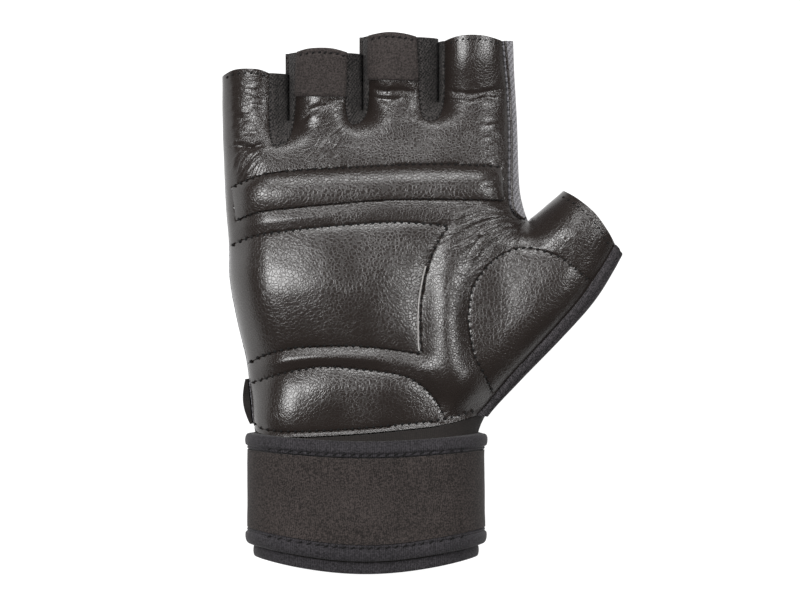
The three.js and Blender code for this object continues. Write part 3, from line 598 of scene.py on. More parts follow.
def padEdges(name):
    # a pad's south, north, west and east lines
    if name == 'upper_palm_pad':
        band, knuckle = seams['band'], seams['knuckle']
        return [band, knuckle, straight(band[0], knuckle[0]), straight(band[-1], knuckle[-1])]
    if name == 'centre_palm_pad':
        west = between(littleSide, seams['foot'][0][1], seams['grip'][0][1])
        return [seams['foot'], seams['grip'], west, seams['side']]
    if name == 'heel_pad':
        heel = seams['heel']
        west = between(littleSide, hemStitch[0][1] + 1.5, heel[0][1])
        low = smoothLine([west[0], hemStitch[12], *hemStitch[30:200:10], heel[-1]])
        return [low, cut(heel, 0, 0.8), west, cut(heel, 1, 0.8)]
    foot = levelOn(bindingLine, levelAt(0.131))
    head = levelOn(bindingLine, levelAt(0.478))
    low = straight(seams['thenar'][0], onLine(bindingLine, foot))
    return [low, seams['thumb'], seams['thenar'], cut(bindingLine, foot, head)]


# how far a pad's crown rises and over what width, the lip at each seam, and how full it is stuffed
padLooks = {
    'upper_palm_pad': {'count': (190, 36), 'rise': 1.25, 'round': 9, 'fill': 0.6,
                       'lips': {'band': 0.12, 'knuckle': 0.9, 'ends': 0.4}},
    'centre_palm_pad': {'count': (130, 96), 'rise': 3.0, 'round': 22, 'fill': 0.5,
                        'lips': {'foot': 0.2, 'grip': 0.2, 'side': 0.5}},
    'heel_pad': {'count': (130, 60), 'rise': 3.8, 'round': 20, 'fill': 0.7, 'lips': {'heel': 0.2, 'ends': 0.3}},
    'thenar_pad': {'count': (90, 110), 'rise': 1.7, 'round': 22, 'fill': 0.6,
                   'lips': {'thenar': 0.3, 'thumb': 0.2}},
}
quilt = {'seamLevel': -0.2, 'stitch': 2.4, 'pucker': 0.05, 'puckerReach': 1.0, 'lipReach': 1.1, 'edgeReach': 4.5,
         'creaseShare': 0.6, 'wall': 0.85}
padOutlines = {}
for name in padLooks:
    south, north, west, east = padEdges(name)
    padOutlines[name] = np.concatenate([south, east, north[::-1], west[::-1]])


def apart(xy, px, py, wide, high):
    # the square of the distance from a mark on the photo, with its reach across and up as one
    gap = (xy - photoMark(px, py)) / (np.array((wide, high)) * pixel)
    return (gap ** 2).sum(1)


def padRise(name, xy):
    # a lip at each seam, and one crown whose slope eases off inward
    look = padLooks[name]
    crown = np.full(len(xy), 1.0)
    total = np.zeros(len(xy))
    gathered = np.zeros(len(xy))
    for key, lip in look['lips'].items():
        if key == 'ends':
            lines = padEdges(name)[2:] if name == 'upper_palm_pad' else [padEdges(name)[0][20:]]
        else:
            lines = [seams[key]]
        distance, along = nearestOf(lines, xy)
        total += lip * np.exp(-distance / quilt['lipReach'])
        crown *= 1 - (1 - np.minimum(1, distance / look['round'])) ** 2
        if key != 'ends':
            gathered += np.exp(-distance / quilt['puckerReach']) * np.cos(2 * math.pi * along / quilt['stitch'])
    free = np.minimum(nearest(littleSide, xy)[0], nearest(bindingLine, xy)[0] + 0.4)
    lips = max(look['lips'].values())
    height = lips - np.minimum(total, lips) + look['rise'] * crown
    height += 0.16 * noise(xy[:, 0] / 13, xy[:, 1] / 13, 3) + 0.03 * noise(xy[:, 0] / 4, xy[:, 1] / 4, 5)
    for *spot, more in swells:
        height += more * np.exp(-apart(xy, *spot))
    height += quilt['pucker'] * gathered
    return formRise(xy) + quilt['seamLevel'] + height * (1 - np.exp(-free / quilt['edgeReach']))


def formRise(xy):
    # the hand's own fullness: the palm falls away slowly toward the little finger's side
    y = xy[:, 1] / glove['palmLength']
    west = nearest(littleSide, xy)[0]
    full = (1 - (1 - np.minimum(1, west / 36)) ** 2) * 5.6 - 3.2
    east = 1 - ramp(0.78, 0.97, xy[:, 0] / glove['palmWidth'])
    return full * ramp(0.02, 0.2, y) * (1 - ramp(0.62, 0.95, y)) * (1 - np.exp(-west / 5)) * east


# where the padding lies thicker: a mark on the photo, its reach across and up, and how far it rises
swells = [
    (320, 296, 44, 40, 0.5), (402, 334, 26, 26, 0.6), (330, 404, 60, 22, 0.4),
]
# how far the leather between the pads stands out, in the same way
puffs = [
    (290, 220, 90, 16, 0.5), (330, 359, 100, 16, 1.4), (446, 322, 26, 60, 2.8), (455, 385, 28, 32, 1.2),
    (245, 110, 18, 26, 0.8), (322, 112, 22, 14, 0.8), (393, 84, 22, 8, 0.5), (395, 122, 18, 14, 0.9),
    (468, 66, 26, 20, 0.7), (470, 122, 26, 18, 0.9), (570, 232, 22, 18, 0.9),
]
# single folds drawn one by one: how high they stand, half their width, and a line of marks on the photo
folds = [
    (-0.5, 0.7, [(370, 89), (385, 93), (400, 92), (418, 95)]),
    (-0.5, 0.9, [(374, 99), (390, 102), (405, 99)]),
    (-0.55, 0.8, [(445, 91), (465, 96), (485, 94), (506, 89)]),
    (-0.4, 0.6, [(446, 101), (470, 103), (486, 99), (500, 100)]),
    (-1.0, 1.0, [(236, 146), (250, 149), (262, 146), (269, 142)]),
    (-0.4, 0.9, [(236, 118), (246, 121), (258, 117)]),
    (-0.4, 0.9, [(240, 132), (252, 134), (266, 130)]),
    (-0.5, 1.1, [(300, 124), (312, 113), (330, 105), (345, 101)]),
    (-0.3, 0.6, [(468, 118), (484, 123), (504, 120)]),
    (-0.25, 0.55, [(478, 130), (490, 130), (504, 125)]),
    (-0.28, 0.6, [(474, 146), (488, 144), (503, 136)]),
    (-0.28, 0.55, [(480, 158), (492, 154), (504, 147)]),
    (-0.2, 0.55, [(458, 136), (466, 132), (478, 133)]),
    (0.34, 0.7, [(522, 221), (506, 212), (482, 210), (452, 220)]),
    (0.4, 0.7, [(522, 224), (503, 217), (478, 221), (446, 238)]),
    (0.42, 0.75, [(523, 227), (502, 224), (480, 234), (456, 256)]),
    (0.36, 0.7, [(524, 230), (506, 231), (486, 243), (468, 266)]),
    (0.3, 0.7, [(527, 232), (512, 240), (498, 252)]),
    (0.3, 0.7, [(344, 126), (332, 138), (318, 156)]),
    (0.26, 0.7, [(349, 130), (338, 142), (328, 160)]),
    (0.32, 0.7, [(272, 150), (258, 160), (243, 180)]),
    (0.26, 0.7, [(268, 154), (252, 170), (240, 186)]),
    (-0.35, 0.7, [(478, 190), (490, 186), (503, 188)]),
]
# creases: a mark and its reach, the point they fan out from or their angle, the fold's width, their depth, and how
# strongly the grain follows them
creases = [
    ((474, 240, 46, 30), (533, 206), 3.4, 0.1, 1.0),
    ((326, 143, 26, 24), (362, 108), 2.6, 0.14, 0.8),
    ((252, 166, 22, 20), (286, 126), 2.4, 0.2, 0.8),
    ((250, 110, 20, 36), 12, 1.7, 0.3, 0.25),
    ((250, 146, 20, 6), 4, 1.8, 0.45, 0.25),
    ((325, 110, 24, 9), 20, 1.8, 0.35, 0.25),
    ((392, 94, 24, 8), -4, 1.4, 0.28, 0.25),
    ((408, 118, 14, 16), 30, 1.8, 0.25, 0.25),
    ((470, 97, 34, 8), -3, 1.4, 0.3, 0.25),
    ((494, 135, 16, 34), 22, 1.5, 0.2, 0.25),
    ((520, 226, 16, 9), (526, 212), 1.6, 0.4, 0.25),
    ((575, 235, 24, 24), 55, 1.7, 0.16, 0.25),
    ((545, 250, 34, 12), 35, 2.0, 0.12, 0.25),
    ((425, 250, 16, 18), 50, 1.8, 0.12, 0.25),
    ((455, 290, 20, 26), 70, 2.2, 0.12, 0.25),
]


def creaseField(xy):
    # the creases' relief, and what the grain needs to follow them
    relief, strongest = np.zeros(len(xy)), np.zeros(len(xy))
    flow = np.column_stack([xy[:, 0] * 0.5, xy[:, 1] * 0.1, np.zeros(len(xy))])
    for k, (spot, way, fold, depth, pull) in enumerate(creases):
        mask = np.exp(-apart(xy, *spot) ** 1.3)
        if isinstance(way, tuple):
            offset = xy - photoMark(*way)
            typical = np.linalg.norm(np.array(photoMark(*spot[:2])) - photoMark(*way))
            across = np.arctan2(offset[:, 1], -offset[:, 0]) * typical
            along = np.linalg.norm(offset, axis=1)
        else:
            turn = math.radians(way)
            across = -xy[:, 0] * math.sin(turn) + xy[:, 1] * math.cos(turn)
            along = xy[:, 0] * math.cos(turn) + xy[:, 1] * math.sin(turn)
        bend = noise(xy[:, 0] / 7, xy[:, 1] / 7, 40 + k) * 1.2
        waves = noise((across + bend) / fold, along / (fold * 5), 7 + k)
        relief += depth * mask * (np.maximum(0, 1 - 3.2 * np.abs(waves)) ** 1.5 - 0.25)
        strength = mask * pull
        mine = strength > strongest
        strongest = np.where(mine, strength, strongest)
        flow[mine] = np.column_stack([(across + bend) / 2, along / 14, np.full(len(xy), 3.7 * k)])[mine]
    for height, width, marks in folds:
        line = smoothLine([photoMark(*mark) for mark in marks], 41)
        near = np.abs(xy - line.mean(0)).max(1) < 26
        distance, _, along = nearest(line, xy[near])
        length = np.linalg.norm(np.diff(line, axis=0), axis=1).sum()
        ends = ramp(0, 3, along) * ramp(0, 3, length - along)
        relief[near] += height * ends * np.exp(-(distance / width) ** 2)
    return relief, np.clip(strongest * 1.2, 0, 1), flow


def stretchOf(xy):
    # the leather is drawn smooth where it turns to the little finger's side and along the thumb's top
    side = 1 - ramp(3, 9, nearest(littleSide, xy)[0])
    top = (1 - ramp(3, 6, nearest(thumbTop, xy)[0])) * ramp(108, 112, xy[:, 0])
    return np.maximum(side, top)


def leatherRise(xy):
    # how far the one skin of leather stands off the hand's form, pads left out
    lines = [*seams.values(), straight(seams['band'][0], seams['knuckle'][0]), hemStitch]
    distance, along = nearestOf(lines, xy)
    puff = np.full(len(xy), 0.35)
    for *spot, more in puffs:
        puff += more * np.exp(-apart(xy, *spot))
    free = np.minimum(nearest(littleSide, xy)[0], nearest(bindingLine, xy)[0])
    for crotch in crotches.values():
        seam = np.concatenate([crotch['leftArm'], crotch['rightArm'][1:]])
        free = np.minimum(free, nearest(seam, xy)[0] * 1.6)
    free = np.minimum(free, nearest(indexSeam, xy)[0] * 1.6)
    soft = 1 - np.exp(-(distance / 3.2) ** 1.3)
    rise = quilt['seamLevel'] * (1 - soft) + puff * soft * (1 - np.exp(-free / 2.5))
    gathered = np.exp(-distance / quilt['puckerReach']) * np.cos(2 * math.pi * along / quilt['stitch'])
    rise += quilt['pucker'] * gathered
    rise += 0.09 * soft * noise(xy[:, 0] / 8, xy[:, 1] / 8, 4)
    relief, crumple, flow = creaseField(xy)
    rise += relief * (1 - np.exp(-free / 1.2)) * (1 - 0.6 * np.exp(-distance / 1.5))
    rise += formRise(xy)
    for outline in padOutlines.values():
        rise = np.where(inside(outline, xy), formRise(xy) - mesh['underPad'], rise)
    return rise, crumple, flow


# counts of rows in the palm's leather, how deep it runs under the pads, and its wall
mesh = {'palm': 112, 'upper': 46, 'stall': 52, 'thumb': 62, 'column': 40,
        'underPad': 1.0, 'wall': 1.5, 'spare': 0.3}


def gloveSide(side, edges, shares, drop):
    # the palm below the web, the part above it, the thumb and the four finger stalls as one sheet
    littleUpper = between(littleSide, webLevel, rootLevel)
    littleWall = between(littleSide, hemStart[1], webLevel)
    roots = [littleUpper[-1]] + place([c['bottom'] for c in crotches.values()]) + [edges['indexPalm'][-1]]
    root = smoothLine(roots)
    # the four stalls stand on the four spans of this line, so its shares are those of its points
    p = np.array(roots, float)
    spans = []
    for k in range(4):
        before, a, b, after = p[max(k - 1, 0)], p[k], p[k + 1], p[min(k + 2, 4)]
        w = np.linspace(0, 1, 61)[:, None]
        v, u = (b - before) / 2, (after - a) / 2
        spans.append((2 * a - 2 * b + v + u) * w ** 3 + (3 * b - 3 * a - 2 * v - u) * w ** 2 + v * w + a)
    root = np.concatenate([spans[0]] + [span[1:] for span in spans[1:]])
    web = straight(littleUpper[0], thumbCrotch)
    columns = np.concatenate([(k + row[(1 if k else 0):]) / 4 for k, row in enumerate(shares['stalls'])])
    lower = [edges['hem'], web, littleWall, edges['thumbRoot']]
    upper = [web, root, littleUpper, edges['indexPalm']]
    thumb = [edges['thumbHeel'], cut(thumbTop, 0, thumbEnd), edges['thumbRoot'], edges['thumbOpening']]
    sheets = [
        sheetOf(lower, columns, shares['palm'], side, drop), sheetOf(upper, columns, shares['upper'], side, drop),
        sheetOf(thumb, shares['thumb'], shares['palm'], side, drop)]
    arms = list(crotches.values())
    wests = [between(littleSide, rootLevel, littleTip)] + [c['rightArm'] for c in arms]
    easts = [c['leftArm'][::-1] for c in arms] + [edges['indexStall']]
    for k in range(4):
        tip = smoothLine([wests[k][-1], *place(tipRises[k]), easts[k][-1]])
        sheets.append(sheetOf([spans[k], tip, wests[k], easts[k]], shares['stalls'][k], shares['stall'], side, drop))
    return weld(*sheets)


palmCloth = gloveSide(1, {
    'hem': cut(hem, 0, hemAtBinding),
    'thumbRoot': smoothLine([bindingWrist, *thumbRootRows, thumbCrotch]),
    'indexPalm': cut(indexSeam, 0, levelOn(indexSeam, indexRoot)),
    'indexStall': cut(indexSeam, levelOn(indexSeam, indexRoot), 1),
    'thumbHeel': bindingLine,
    'thumbOpening': smoothLine([bindingLine[-1], *openingRows, onLine(thumbTop, thumbEnd)]),
}, {'stalls': [startFine(mesh['column'] + 8)] + [even(mesh['column'])] * 3, 'palm': even(mesh['palm']),
    'upper': even(mesh['upper']), 'stall': even(mesh['stall']), 'thumb': even(mesh['thumb'])}, 0)
xy = palmCloth['points'][:, :2]
rise, crumple, flow = leatherRise(xy)
palm = solid('palm_leather', palmCloth, rise, formRise(xy) - mesh['wall'] - mesh['spare'], {
    'crumple': crumple, 'flow': flow, 'stretch': stretchOf(xy)})
dress(palm, palmLeather, ['palm_panel', 'grip_band', 'palm_ridge', 'thumb_crease_pad'])
print('palm leather:', len(palm.data.polygons), 'faces')

for name, look in padLooks.items():
    edges = padEdges(name)
    across, up = look['count']
    columns = startFine(across) if name in ('centre_palm_pad', 'heel_pad') else even(across)
    cloth = sheetOf(edges, columns, even(up), 1)
    xy = cloth['points'][:, :2]
    relief, crumple, flow = creaseField(xy)
    top = padRise(name, xy) + relief * quilt['creaseShare']
    pad = solid(name + '_leather', cloth, top, formRise(xy) - quilt['wall'], {
        'crumple': crumple * 0.5, 'flow': flow, 'stretch': stretchOf(xy)})
    dress(pad, padLeather, [name])
print('pads made')

backLook = {'wall': 1.8, 'drop': 0.35, 'sideTrim': 0.75, 'flat': (0.16, 0.14), 'area': 0.016}
backShares = {'stalls': [startFine(12), even(8), even(8), endFine(12)], 'palm': even(44), 'upper': even(18),
              'stall': even(20), 'thumb': even(24)}
sideRoot, sideTip = levelOn(indexSide, indexRoot), levelOn(indexSide, levelAt(1.93))
seamRoot = levelOn(indexSeam, indexRoot)
palmSide, stallSide = cut(indexSide, 1, sideRoot), cut(indexSide, sideRoot, sideTip)
backCloth = gloveSide(-1, {
    'hem': straight(hemStart, hemEnd),
    'thumbRoot': smoothLine([hemEnd, *thumbRootRows, thumbCrotch]),
    'indexPalm': palmSide, 'indexStall': stallSide,
    'thumbHeel': between(thumbHeel, hemEnd[1], heelTip[1]),
    'thumbOpening': smoothLine([heelTip, *openingRows, onLine(thumbTop, thumbEnd)]),
}, backShares, backLook['drop'])


def sideTurn(west, east, rows):
    # the strip that turns round the index finger's side as far as the leather
    edges = [straight(west[0], east[0]), straight(west[-1], east[-1]), west, east]
    return sheetOf(edges, endFine(10), rows, 1, backLook['drop'], {'west': backLook['sideTrim']})


backCloth = weld(
    backCloth, sideTurn(cut(indexSeam, 0, seamRoot), palmSide, backShares['upper'][1:]),
    sideTurn(cut(indexSeam, seamRoot, 1), stallSide, backShares['stall']))
back = solid('back_knit', backCloth, 0, -backLook['wall'], {'weave': backCloth['points'] / 1000})
dress(back, backKnit, ['back_panel'])

gussetLook = {'legs': 0.36, 'start': 0.1, 'rows': 9, 'lip': 0.55, 'lipAt': 0.16, 'wall': 1.2, 'flat': (0.02, 0.054)}
for name, crotch in crotches.items():
    # the seam runs down one finger and up the next, and the wall follows it round the slit's foot
    foot, half, legs = crotch['foot'], glove['slitWidth'] / 2, gussetLook['legs']
    t = even(96)
    seam = np.where((t < 0.5)[:, None], onLine(crotch['leftArm'], 2 * t), onLine(crotch['rightArm'], 2 * t - 1))
    turn = math.pi * (1 + (t - legs) / (1 - 2 * legs))
    wall = np.stack([foot[0] + half * np.cos(turn), foot[1] + half * np.sin(turn)], 1)
    for side, top, share in ((-1, crotch['leftArm'][0][1], t / legs),
                             (1, crotch['rightArm'][-1][1], (1 - t) / legs)):
        leg = np.stack([foot[0] + side * half + 0 * t, top + (foot[1] - top) * share], 1)
        wall = np.where((share < 1)[:, None], leg, wall)
    inset = gussetLook['start'] / np.linalg.norm(wall - seam, axis=1)
    share = endFine(gussetLook['rows'])
    lean = inset[None] + (1 - inset[None]) * share[:, None]
    grid = seam[None] * (1 - lean[..., None]) + wall[None] * lean[..., None]
    cloth = weld(sheetOf(None, t, share, 1, grid=grid), sheetOf(None, t, share, -1, grid=grid), step=0.0005)
    gap = (cloth['shares'][:, 1] - gussetLook['lipAt']) / gussetLook['lipAt']
    lip = np.where(cloth['front'] > 0, gussetLook['lip'] * np.exp(-gap ** 2), 0)
    gusset = solid('gusset_' + name + '_knit', cloth, lip, -gussetLook['wall'], {'weave': cloth['points'] / 1000})
    dress(gusset, gussetKnit, ['gusset_' + name])
print('back and gussets made')

tab = {'thickness': 1.3, 'length': 15, 'width': 17, 'inset': 0.35, 'flat': (0.0175, 0.0165)}
arms = list(crotches.values())
wests = [between(littleSide, rootLevel, littleTip)] + [c['rightArm'] for c in arms]
easts = [c['leftArm'][::-1] for c in arms] + [cut(indexSeam, seamRoot, 1)]
tips = [smoothLine([west[-1], *place(rises), east[-1]]) for west, rises, east in zip(wests, tipRises, easts)]
for k, name in ((1, 'ring'), (2, 'middle')):
    west, east = (cut(side, 1 - tab['length'] / (2 * np.linalg.norm(onLine(side, 0.5) - side[-1])), 1)
                  for side in (wests[k], easts[k]))
    trim = {'west': tab['inset'], 'east': tab['inset']}
    cloth = sheetOf([straight(west[0], east[0]), tips[k], west, east], even(60), even(44), 1, 0, trim)
    u, v = cloth['shares'].T
    foot, head, rim = v * tab['length'], (1 - v) * tab['length'], np.minimum(u, 1 - u) * tab['width']
    top = glove['layGap'] + tab['thickness'] - 0.5 * np.exp(-foot / 0.5) - 0.35 * np.exp(-head / 0.5)
    top = top - 0.3 * np.exp(-(head - 1.6) ** 2 / 0.3) - 0.35 * np.exp(-rim / 0.4)
    weave = weaveOf(cloth, tab['width'], tab['length'])
    piece = solid('pull_tab_' + name + '_webbing', cloth, top, glove['layGap'] * 0.5, {'weave': weave})
    dress(piece, tabWebbing, ['pull_tab_' + name])

tape = {'inset': (-0.85, 0.8), 'base': 0.75, 'roll': 1.2, 'groove': 0.5, 'grooveAt': 0.62, 'wall': 1.8,
        'length': 78, 'width': 6, 'flat': (0.0115, 0.079)}
bindingEdges = [between(thumbHeel, hemEnd[1], heelTip[1]), bindingLine + tape['inset'],
                straight(hemEnd, bindingLine[0]), straight(heelTip, bindingLine[-1])]
cloth = sheetOf(bindingEdges, even(110), startFine(20), 1)
v = cloth['shares'][:, 1]
top = tape['base'] * ramp(0, 0.5, v) + tape['roll'] * (4 * v * (1 - v)) ** 0.7
top -= tape['groove'] * np.exp(-((v - tape['grooveAt']) / 0.07) ** 2)
weave = weaveOf(cloth, tape['length'], tape['width'])
binding = solid('thumb_edge_tape', cloth, top, -tape['wall'], {'weave': weave})
dress(binding, thumbTape, ['thumb_binding'])
print('tabs and thumb tape made')


def cuffEdge(distance, sag):
    # a line round the wrist, this far below the hem, which sags at the front
    start, end = atLevel(littleSide, -distance), atLevel(thumbHeel, -distance)
    rear = straight(start, end)
    front = rear.copy()
    front[:, 1] -= sag * np.sin(math.pi * np.linspace(0, 1, len(front)))
    return {'start': start, 'end': end, 'front': front, 'back': rear}


def ring(low, high, rows, trim={}):
    west = between(littleSide, low['start'][1], high['start'][1])
    east = between(thumbHeel, low['end'][1], high['end'][1])
    return weld(*(sheetOf([low[key], high[key], west, east], bothFine(70), rows, side, 0, trim)
                  for key, side in (('front', 1), ('back', -1))))


def ringWeave(cloth, length):
    # the girth is run out flat, so that ribs stay the same width round the sides
    x = cloth['points'][:, 0] - wristCentre
    z = cloth['points'][:, 2] - 20
    spots = np.zeros((len(x), 3))
    spots[:, 0] = (x + np.sign(x) * np.maximum(0, 14 - np.abs(z)) * 0.7) / 1000
    spots[:, 1] = cloth['shares'][:, 1] * length / 1000
    return spots


cuff = {'drop': 0.1, 'wall': 2.0, 'tapeBase': 0.3, 'tapeRoll': 0.6, 'tapeWall': 2.2, 'underTape': 1,
        'flat': (0.186, 0.044)}
hemEdge = {'start': hemStart, 'end': hemEnd, 'front': hem, 'back': straight(hemStart, hemEnd)}
tapeStart = glove['cuffLength'] - glove['cuffTape']
cuffEnd, sleeveEnd, sleeveLow = (
    cuffEdge(distance, glove['cuffSag'])
    for distance in (glove['cuffLength'], tapeStart, tapeStart + cuff['underTape']))
cloth = ring(sleeveLow, hemEdge, even(24), {'north': 0.5})
sleeve = solid('cuff_sleeve_knit', cloth, -cuff['drop'], -cuff['wall'], {'weave': ringWeave(cloth, 40)})
dress(sleeve, cuffKnit, ['cuff_sleeve'])
cloth = ring(cuffEnd, sleeveEnd, bothFine(14))
v = cloth['shares'][:, 1]
bead = cuff['tapeBase'] + cuff['tapeRoll'] * (4 * v * (1 - v)) ** 0.5
piece = solid('cuff_end_tape', cloth, bead, -cuff['tapeWall'], {'weave': ringWeave(cloth, 4)})
dress(piece, ribTape, ['cuff_binding'])

wrapLook = {'thickness': 2.6, 'sway': 0.35, 'ripple': 0.12, 'bead': 1.9, 'roll': 1.3, 'groove': 0.55,
            'closureHalf': 19, 'closureWall': 1.4, 'flat': (0.2, 0.029)}
wrapTop = cuffEdge(glove['wrapStart'], glove['wrapSag'])
wrapUpper = cuffEdge(glove['wrapStart'] + glove['tapeWidth'], glove['wrapSag'])
wrapLower = cuffEdge(glove['wrapStart'] + glove['wrapWidth'] - glove['tapeWidth'], glove['cuffSag'])
wrapEnd = cuffEdge(glove['wrapStart'] + glove['wrapWidth'], glove['cuffSag'])
cloth = ring(wrapLower, wrapUpper, even(40), {'north': 0.2, 'south': 0.2})
x, y = cloth['points'][:, 0], cloth['points'][:, 1]
sway = wrapLook['sway'] * noise(x / 22, y / 14, 21) + wrapLook['ripple'] * noise(x / 6, y / 9, 22)
top = glove['layGap'] + wrapLook['thickness'] + np.where(cloth['front'] > 0, sway, 0)
wrap = solid('wrist_wrap_elastic', cloth, top, glove['layGap'], {'weave': ringWeave(cloth, 27)})
dress(wrap, wrapWeave, ['wrist_wrap'])

for name, low, high, groove in (('wrap_top_binding', wrapUpper, wrapTop, 0.2),
                                ('wrap_bottom_binding', wrapEnd, wrapLower, 0.8)):
    cloth = ring(low, high, bothFine(24))
    v = cloth['shares'][:, 1]
    bead = glove['layGap'] + wrapLook['bead'] + wrapLook['roll'] * np.sqrt(np.maximum(0, 4 * v * (1 - v)))
    bead -= wrapLook['groove'] * np.exp(-((v - groove) / 0.07) ** 2)
    weave = ringWeave(cloth, glove['tapeWidth'])
    piece = solid(name + '_tape', cloth, bead, glove['layGap'], {'weave': weave})
    dress(piece, ribTape, [name])

closureHigh = -glove['wrapStart'] - glove['tapeWidth'] - glove['closureMargin']
corners = [np.array([wristCentre + side * wrapLook['closureHalf'], y])
           for y in (closureLow, closureHigh) for side in (-1, 1)]
edges = [straight(corners[a], corners[b]) for a, b in ((0, 1), (2, 3), (0, 2), (1, 3))]
cloth = sheetOf(edges, even(40), even(24), -1)
bed = glove['cuffBed']
closure = solid('wrap_hook_tab', cloth, bed, bed - wrapLook['closureWall'], {'weave': cloth['points'] / 1000})
dress(closure, wrapWeave, ['wrap_closure'])

vent = {'low': 0.02, 'high': 0.165, 'reach': 5, 'base': 0.8, 'bulge': 1.6}
rollLow, rollHigh = littleAt(vent['low']), littleAt(vent['high'])
west = between(littleSide, rollLow[1], rollHigh[1])
aside = (vent['reach'], 0)
edges = [straight(rollLow, rollLow + aside), straight(rollHigh, rollHigh + aside), west, west + aside]
cloth = sheetOf(edges, startFine(10), even(40), -1, backLook['drop'])
top = glove['layGap'] + vent['base'] + vent['bulge'] * np.sin(math.pi * cloth['shares'][:, 1])
roll = solid('vent_edge_roll', cloth, top, glove['layGap'], {'weave': cloth['points'] / 1000})
dress(roll, cuffKnit, ['vent_roll'])
print('cuff and wrap made')


def besides(points, normals, along, level):
    # the directions along and across a line on the skin, and its points lifted to a level
    along = along / np.linalg.norm(along, axis=1)[:, None]
    across = np.cross(normals, along)
    across /= np.linalg.norm(across, axis=1)[:, None]
    return along, across, points + normals * (level + np.reshape(formRise(points[:, :2]), (-1, 1)))


def threadRow(line, pitch, size, level):
    # one bead of thread to a stitch, each a small eight-sided ellipsoid lying aslant the line
    length = np.linalg.norm(np.diff(line, axis=0), axis=1).sum()
    count = max(1, int(length / pitch))
    share = (np.arange(count) + 0.5) / count
    points, normals = skin(onLine(line, share), 1)
    ahead, _ = skin(onLine(line, share + 0.3 * pitch / length), 1)
    behind, _ = skin(onLine(line, share - 0.3 * pitch / length), 1)
    along, across, centre = besides(points, normals, ahead - behind, level)
    turned, aslant = stitching['slant']
    along, across = along * turned + across * aslant, across * turned - along * aslant
    vertices, faces = [], []
    for c, a, b, n in zip(centre, along, across, normals):
        base = len(vertices)
        for ringAt in (-0.98, -0.7, 0, 0.7, 0.98):
            wide = math.sqrt(1 - ringAt ** 2)
            for k in range(8):
                turn = math.pi * k / 4
                around = b * math.cos(turn) * size[1] + n * math.sin(turn) * size[2]
                vertices.append(c + a * ringAt * size[0] + around * wide)
        for j in range(4):
            for k in range(8):
                p, q = base + 8 * j + k, base + 8 * j + (k + 1) % 8
                faces.append([p, q, q + 8, p + 8])
        faces.append([base + k for k in range(7, -1, -1)])
        faces.append([base + 32 + k for k in range(8)])
    return vertices, faces


def trimPiece(name, vertices, faces, material):
    vertices = np.array(vertices)
    mesh = bpy.data.meshes.new(name)
    mesh.from_pydata(((vertices - shift) / 1000).tolist(), [], faces)
    spots = (vertices / 1000).astype(np.float32).reshape(-1)
    mesh.attributes.new('weave', 'FLOAT_VECTOR', 'POINT').data.foreach_set('vector', spots)
    piece = finished(name, mesh, 80)
    piece.data.materials.append(material)
    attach(piece, 'root')


def threads(name, rows):
    vertices, faces = [], []
    for row in rows:
        more, added = threadRow(*row)
        faces += [[i + len(vertices) for i in face] for face in added]
        vertices += more
    trimPiece(name, vertices, faces, threadLook)


# pitches and levels in millimetres; a size is half a bead's length, width and height
stitching = {
    'slant': (0.85, 0.53), 'quilt': {'pitch': 2.4, 'level': 0.05},
    'bold': (0.6, 0.6, 0.52), 'small': (0.5, 0.48, 0.42),
    'hem': {'pitch': 1.9, 'size': (0.62, 0.34, 0.3), 'level': 0.4},
    'tab': {'pitch': 1.9, 'size': (0.62, 0.36, 0.3), 'level': 1.6},
    'crotch': {'pitch': 1.5, 'size': (0.5, 0.24, 0.2), 'level': 0.35},
    'wrap': {'pitch': 2.9, 'size': (0.95, 0.3, 0.26), 'level': 2.75},
}


def rowOf(line, kind, lift=0):
    look = stitching[kind]
    return line, look['pitch'], look['size'], look['level'] + lift


boldSeams = ('band', 'grip', 'foot')
quiltRows = [(seams[key], stitching['bold' if key in boldSeams else 'small'])
             for key in ('knuckle', 'band', 'grip', 'foot', 'heel', 'side', 'thenar', 'thumb')]
quiltRows.append((hemStitch, stitching['small']))
threads('quilting_stitches', [
    (line, stitching['quilt']['pitch'], size, stitching['quilt']['level']) for line, size in quiltRows])
opening = smoothLine([bindingLine[-1], *openingRows, onLine(thumbTop, thumbEnd)])
threads('hem_stitches', [rowOf(cut(tips[k], 0.08, 0.95) - (0, 1.5), 'hem') for k in (0, 3)]
        + [rowOf(cut(tips[k], 0.06, 0.95) - (0, 1.6), 'tab') for k in (1, 2)]
        + [rowOf(cut(opening, 0.05, 0.97) + (-1.7, -1.4), 'hem', 0.05)])
threads('crotch_stitches', [
    rowOf(cut(np.concatenate([c['leftArm'], c['rightArm'][1:]]), 0.3, 0.7) + (0, 0.9), 'crotch')
    for c in arms])
threads('wrap_stitches', [
    rowOf(cut(edge['front'], 0.07, 0.93) + (0, lift), 'wrap', glove['layGap'])
    for edge, lift in ((wrapUpper, 1.0), (wrapLower, -0.9))])


def cordAlong(name, line, radius, level, material, ends=(0, 1)):
    # a thin round piping laid along a line
    share = np.linspace(*ends, 160)
    points, normals = skin(onLine(line, share), 1)
    _, across, centre = besides(points, normals, np.gradient(points, axis=0), level)
    turns = np.arange(10) * math.pi / 5
    rim = across[:, None] * np.cos(turns)[:, None] + normals[:, None] * np.sin(turns)[:, None]
    vertices = (centre[:, None] + radius * rim).reshape(-1, 3)
    faces = [[10 * j + k, 10 * j + (k + 1) % 10, 10 * j + 10 + (k + 1) % 10, 10 * j + 10 + k]
             for j in range(159) for k in range(10)]
    faces.append(list(range(9, -1, -1)))
    faces.append([1590 + k for k in range(10)])
    trimPiece(name, vertices, faces, material)


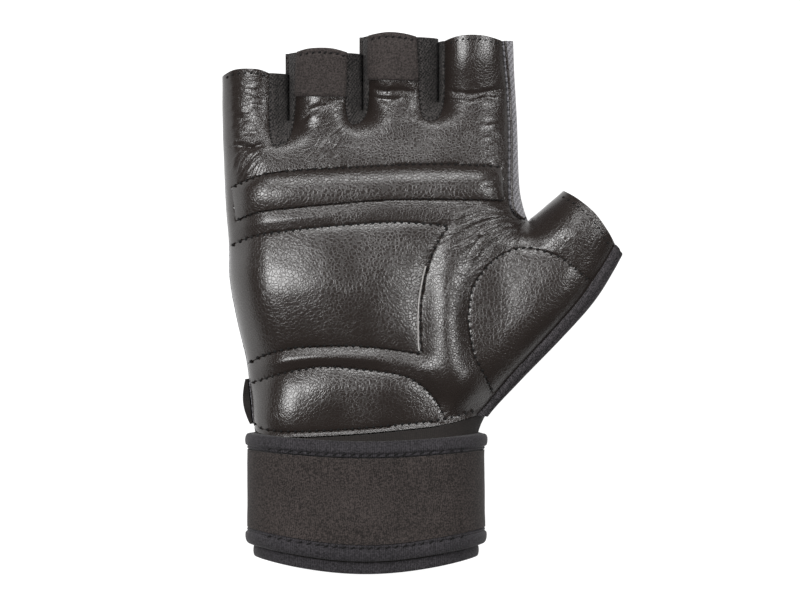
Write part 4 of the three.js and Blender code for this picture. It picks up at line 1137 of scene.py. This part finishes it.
piping = {'radius': 0.45, 'level': 0.42, 'aside': (0.95, 0)}
# a thin pale cord along the centre pad's side seam: its light colour is a painted highlight where the pad's folded
# edge catches the light
highlightCord = {'radius': 0.3, 'level': 0.5, 'aside': (0.75, 0), 'ends': (0.02, 0.66)}
cordAlong('index_seam_piping', cut(indexSeam, 0.05, 1) + piping['aside'], piping['radius'], piping['level'],
          palmLeather)
paintedHighlightLook = knit('painted edge highlight', {
    'rib': 0.5, 'loop': 0.5, 'depth': 0.02, 'dark': (0.14, 0.13, 0.125), 'light': (0.36, 0.35, 0.345)})
cordAlong('pad_edge_painted_highlight', seams['side'] - highlightCord['aside'], highlightCord['radius'], highlightCord['level'], paintedHighlightLook,
          highlightCord['ends'])
print('stitches and piping made')

studio = {'height': 1.3, 'frame': 0.276, 'focus': 0.018, 'centre': (-0.0073, 0.0009), 'sky': 0.07, 'glow': 0.95}
camera = bpy.data.objects.new('camera', bpy.data.cameras.new('camera'))
camera.data.sensor_width = 36
camera.data.lens = 36 * studio['height'] / studio['frame']
camera.data.clip_start = 0.05
camera.location = (*studio['centre'], studio['height'] + studio['focus'])
bpy.context.scene.collection.objects.link(camera)
bpy.context.scene.camera = camera

bpy.ops.mesh.primitive_plane_add(size=6, location=(0, 0, -0.0005))
floor = bpy.context.active_object
floor.name = 'floor'
material, start = newMaterial('white table')
grain = start.node('TexNoise', {}, {'Scale': 40.0})
shader = start.node('BsdfPrincipled', {}, {
    'Base Color': grain.tint((0.16, 0.16, 0.16), (0.18, 0.18, 0.18)), 'Roughness': 0.9,
    'Emission Color': (1, 1, 1, 1), 'Emission Strength': studio['glow']})
start.node('OutputMaterial', {}, {0: shader})
floor.data.materials.append(material)

softboxes = {
    'left_softbox': {'place': (-0.58, 0.18, 1.0), 'size': (0.46, 0.55), 'power': 14.5},
    'right_softbox': {'place': (0.66, 0.12, 1.0), 'size': (0.34, 0.5), 'power': 8.5},
    'top_softbox': {'place': (0.0, 1.0, 1.0), 'size': (0.9, 0.34), 'power': 13},
}
for name, look in softboxes.items():
    lamp = bpy.data.lights.new(name, 'AREA')
    lamp.shape = 'RECTANGLE'
    lamp.size, lamp.size_y = look['size']
    lamp.energy = look['power']
    holder = bpy.data.objects.new(name, lamp)
    holder.location = look['place']
    away = np.array(look['place']) / np.linalg.norm(look['place'])
    holder.rotation_euler = (math.acos(away[2]), 0, math.atan2(away[0], -away[1]))
    bpy.context.scene.collection.objects.link(holder)

world = bpy.data.worlds.new('studio')
bpy.context.scene.world = world
world.use_nodes = True
world.node_tree.nodes['Background'].inputs[0].default_value = (1, 1, 1, 1)
world.node_tree.nodes['Background'].inputs[1].default_value = studio['sky']
bpy.context.scene.view_settings.view_transform = 'Standard'
print('camera and lights set')
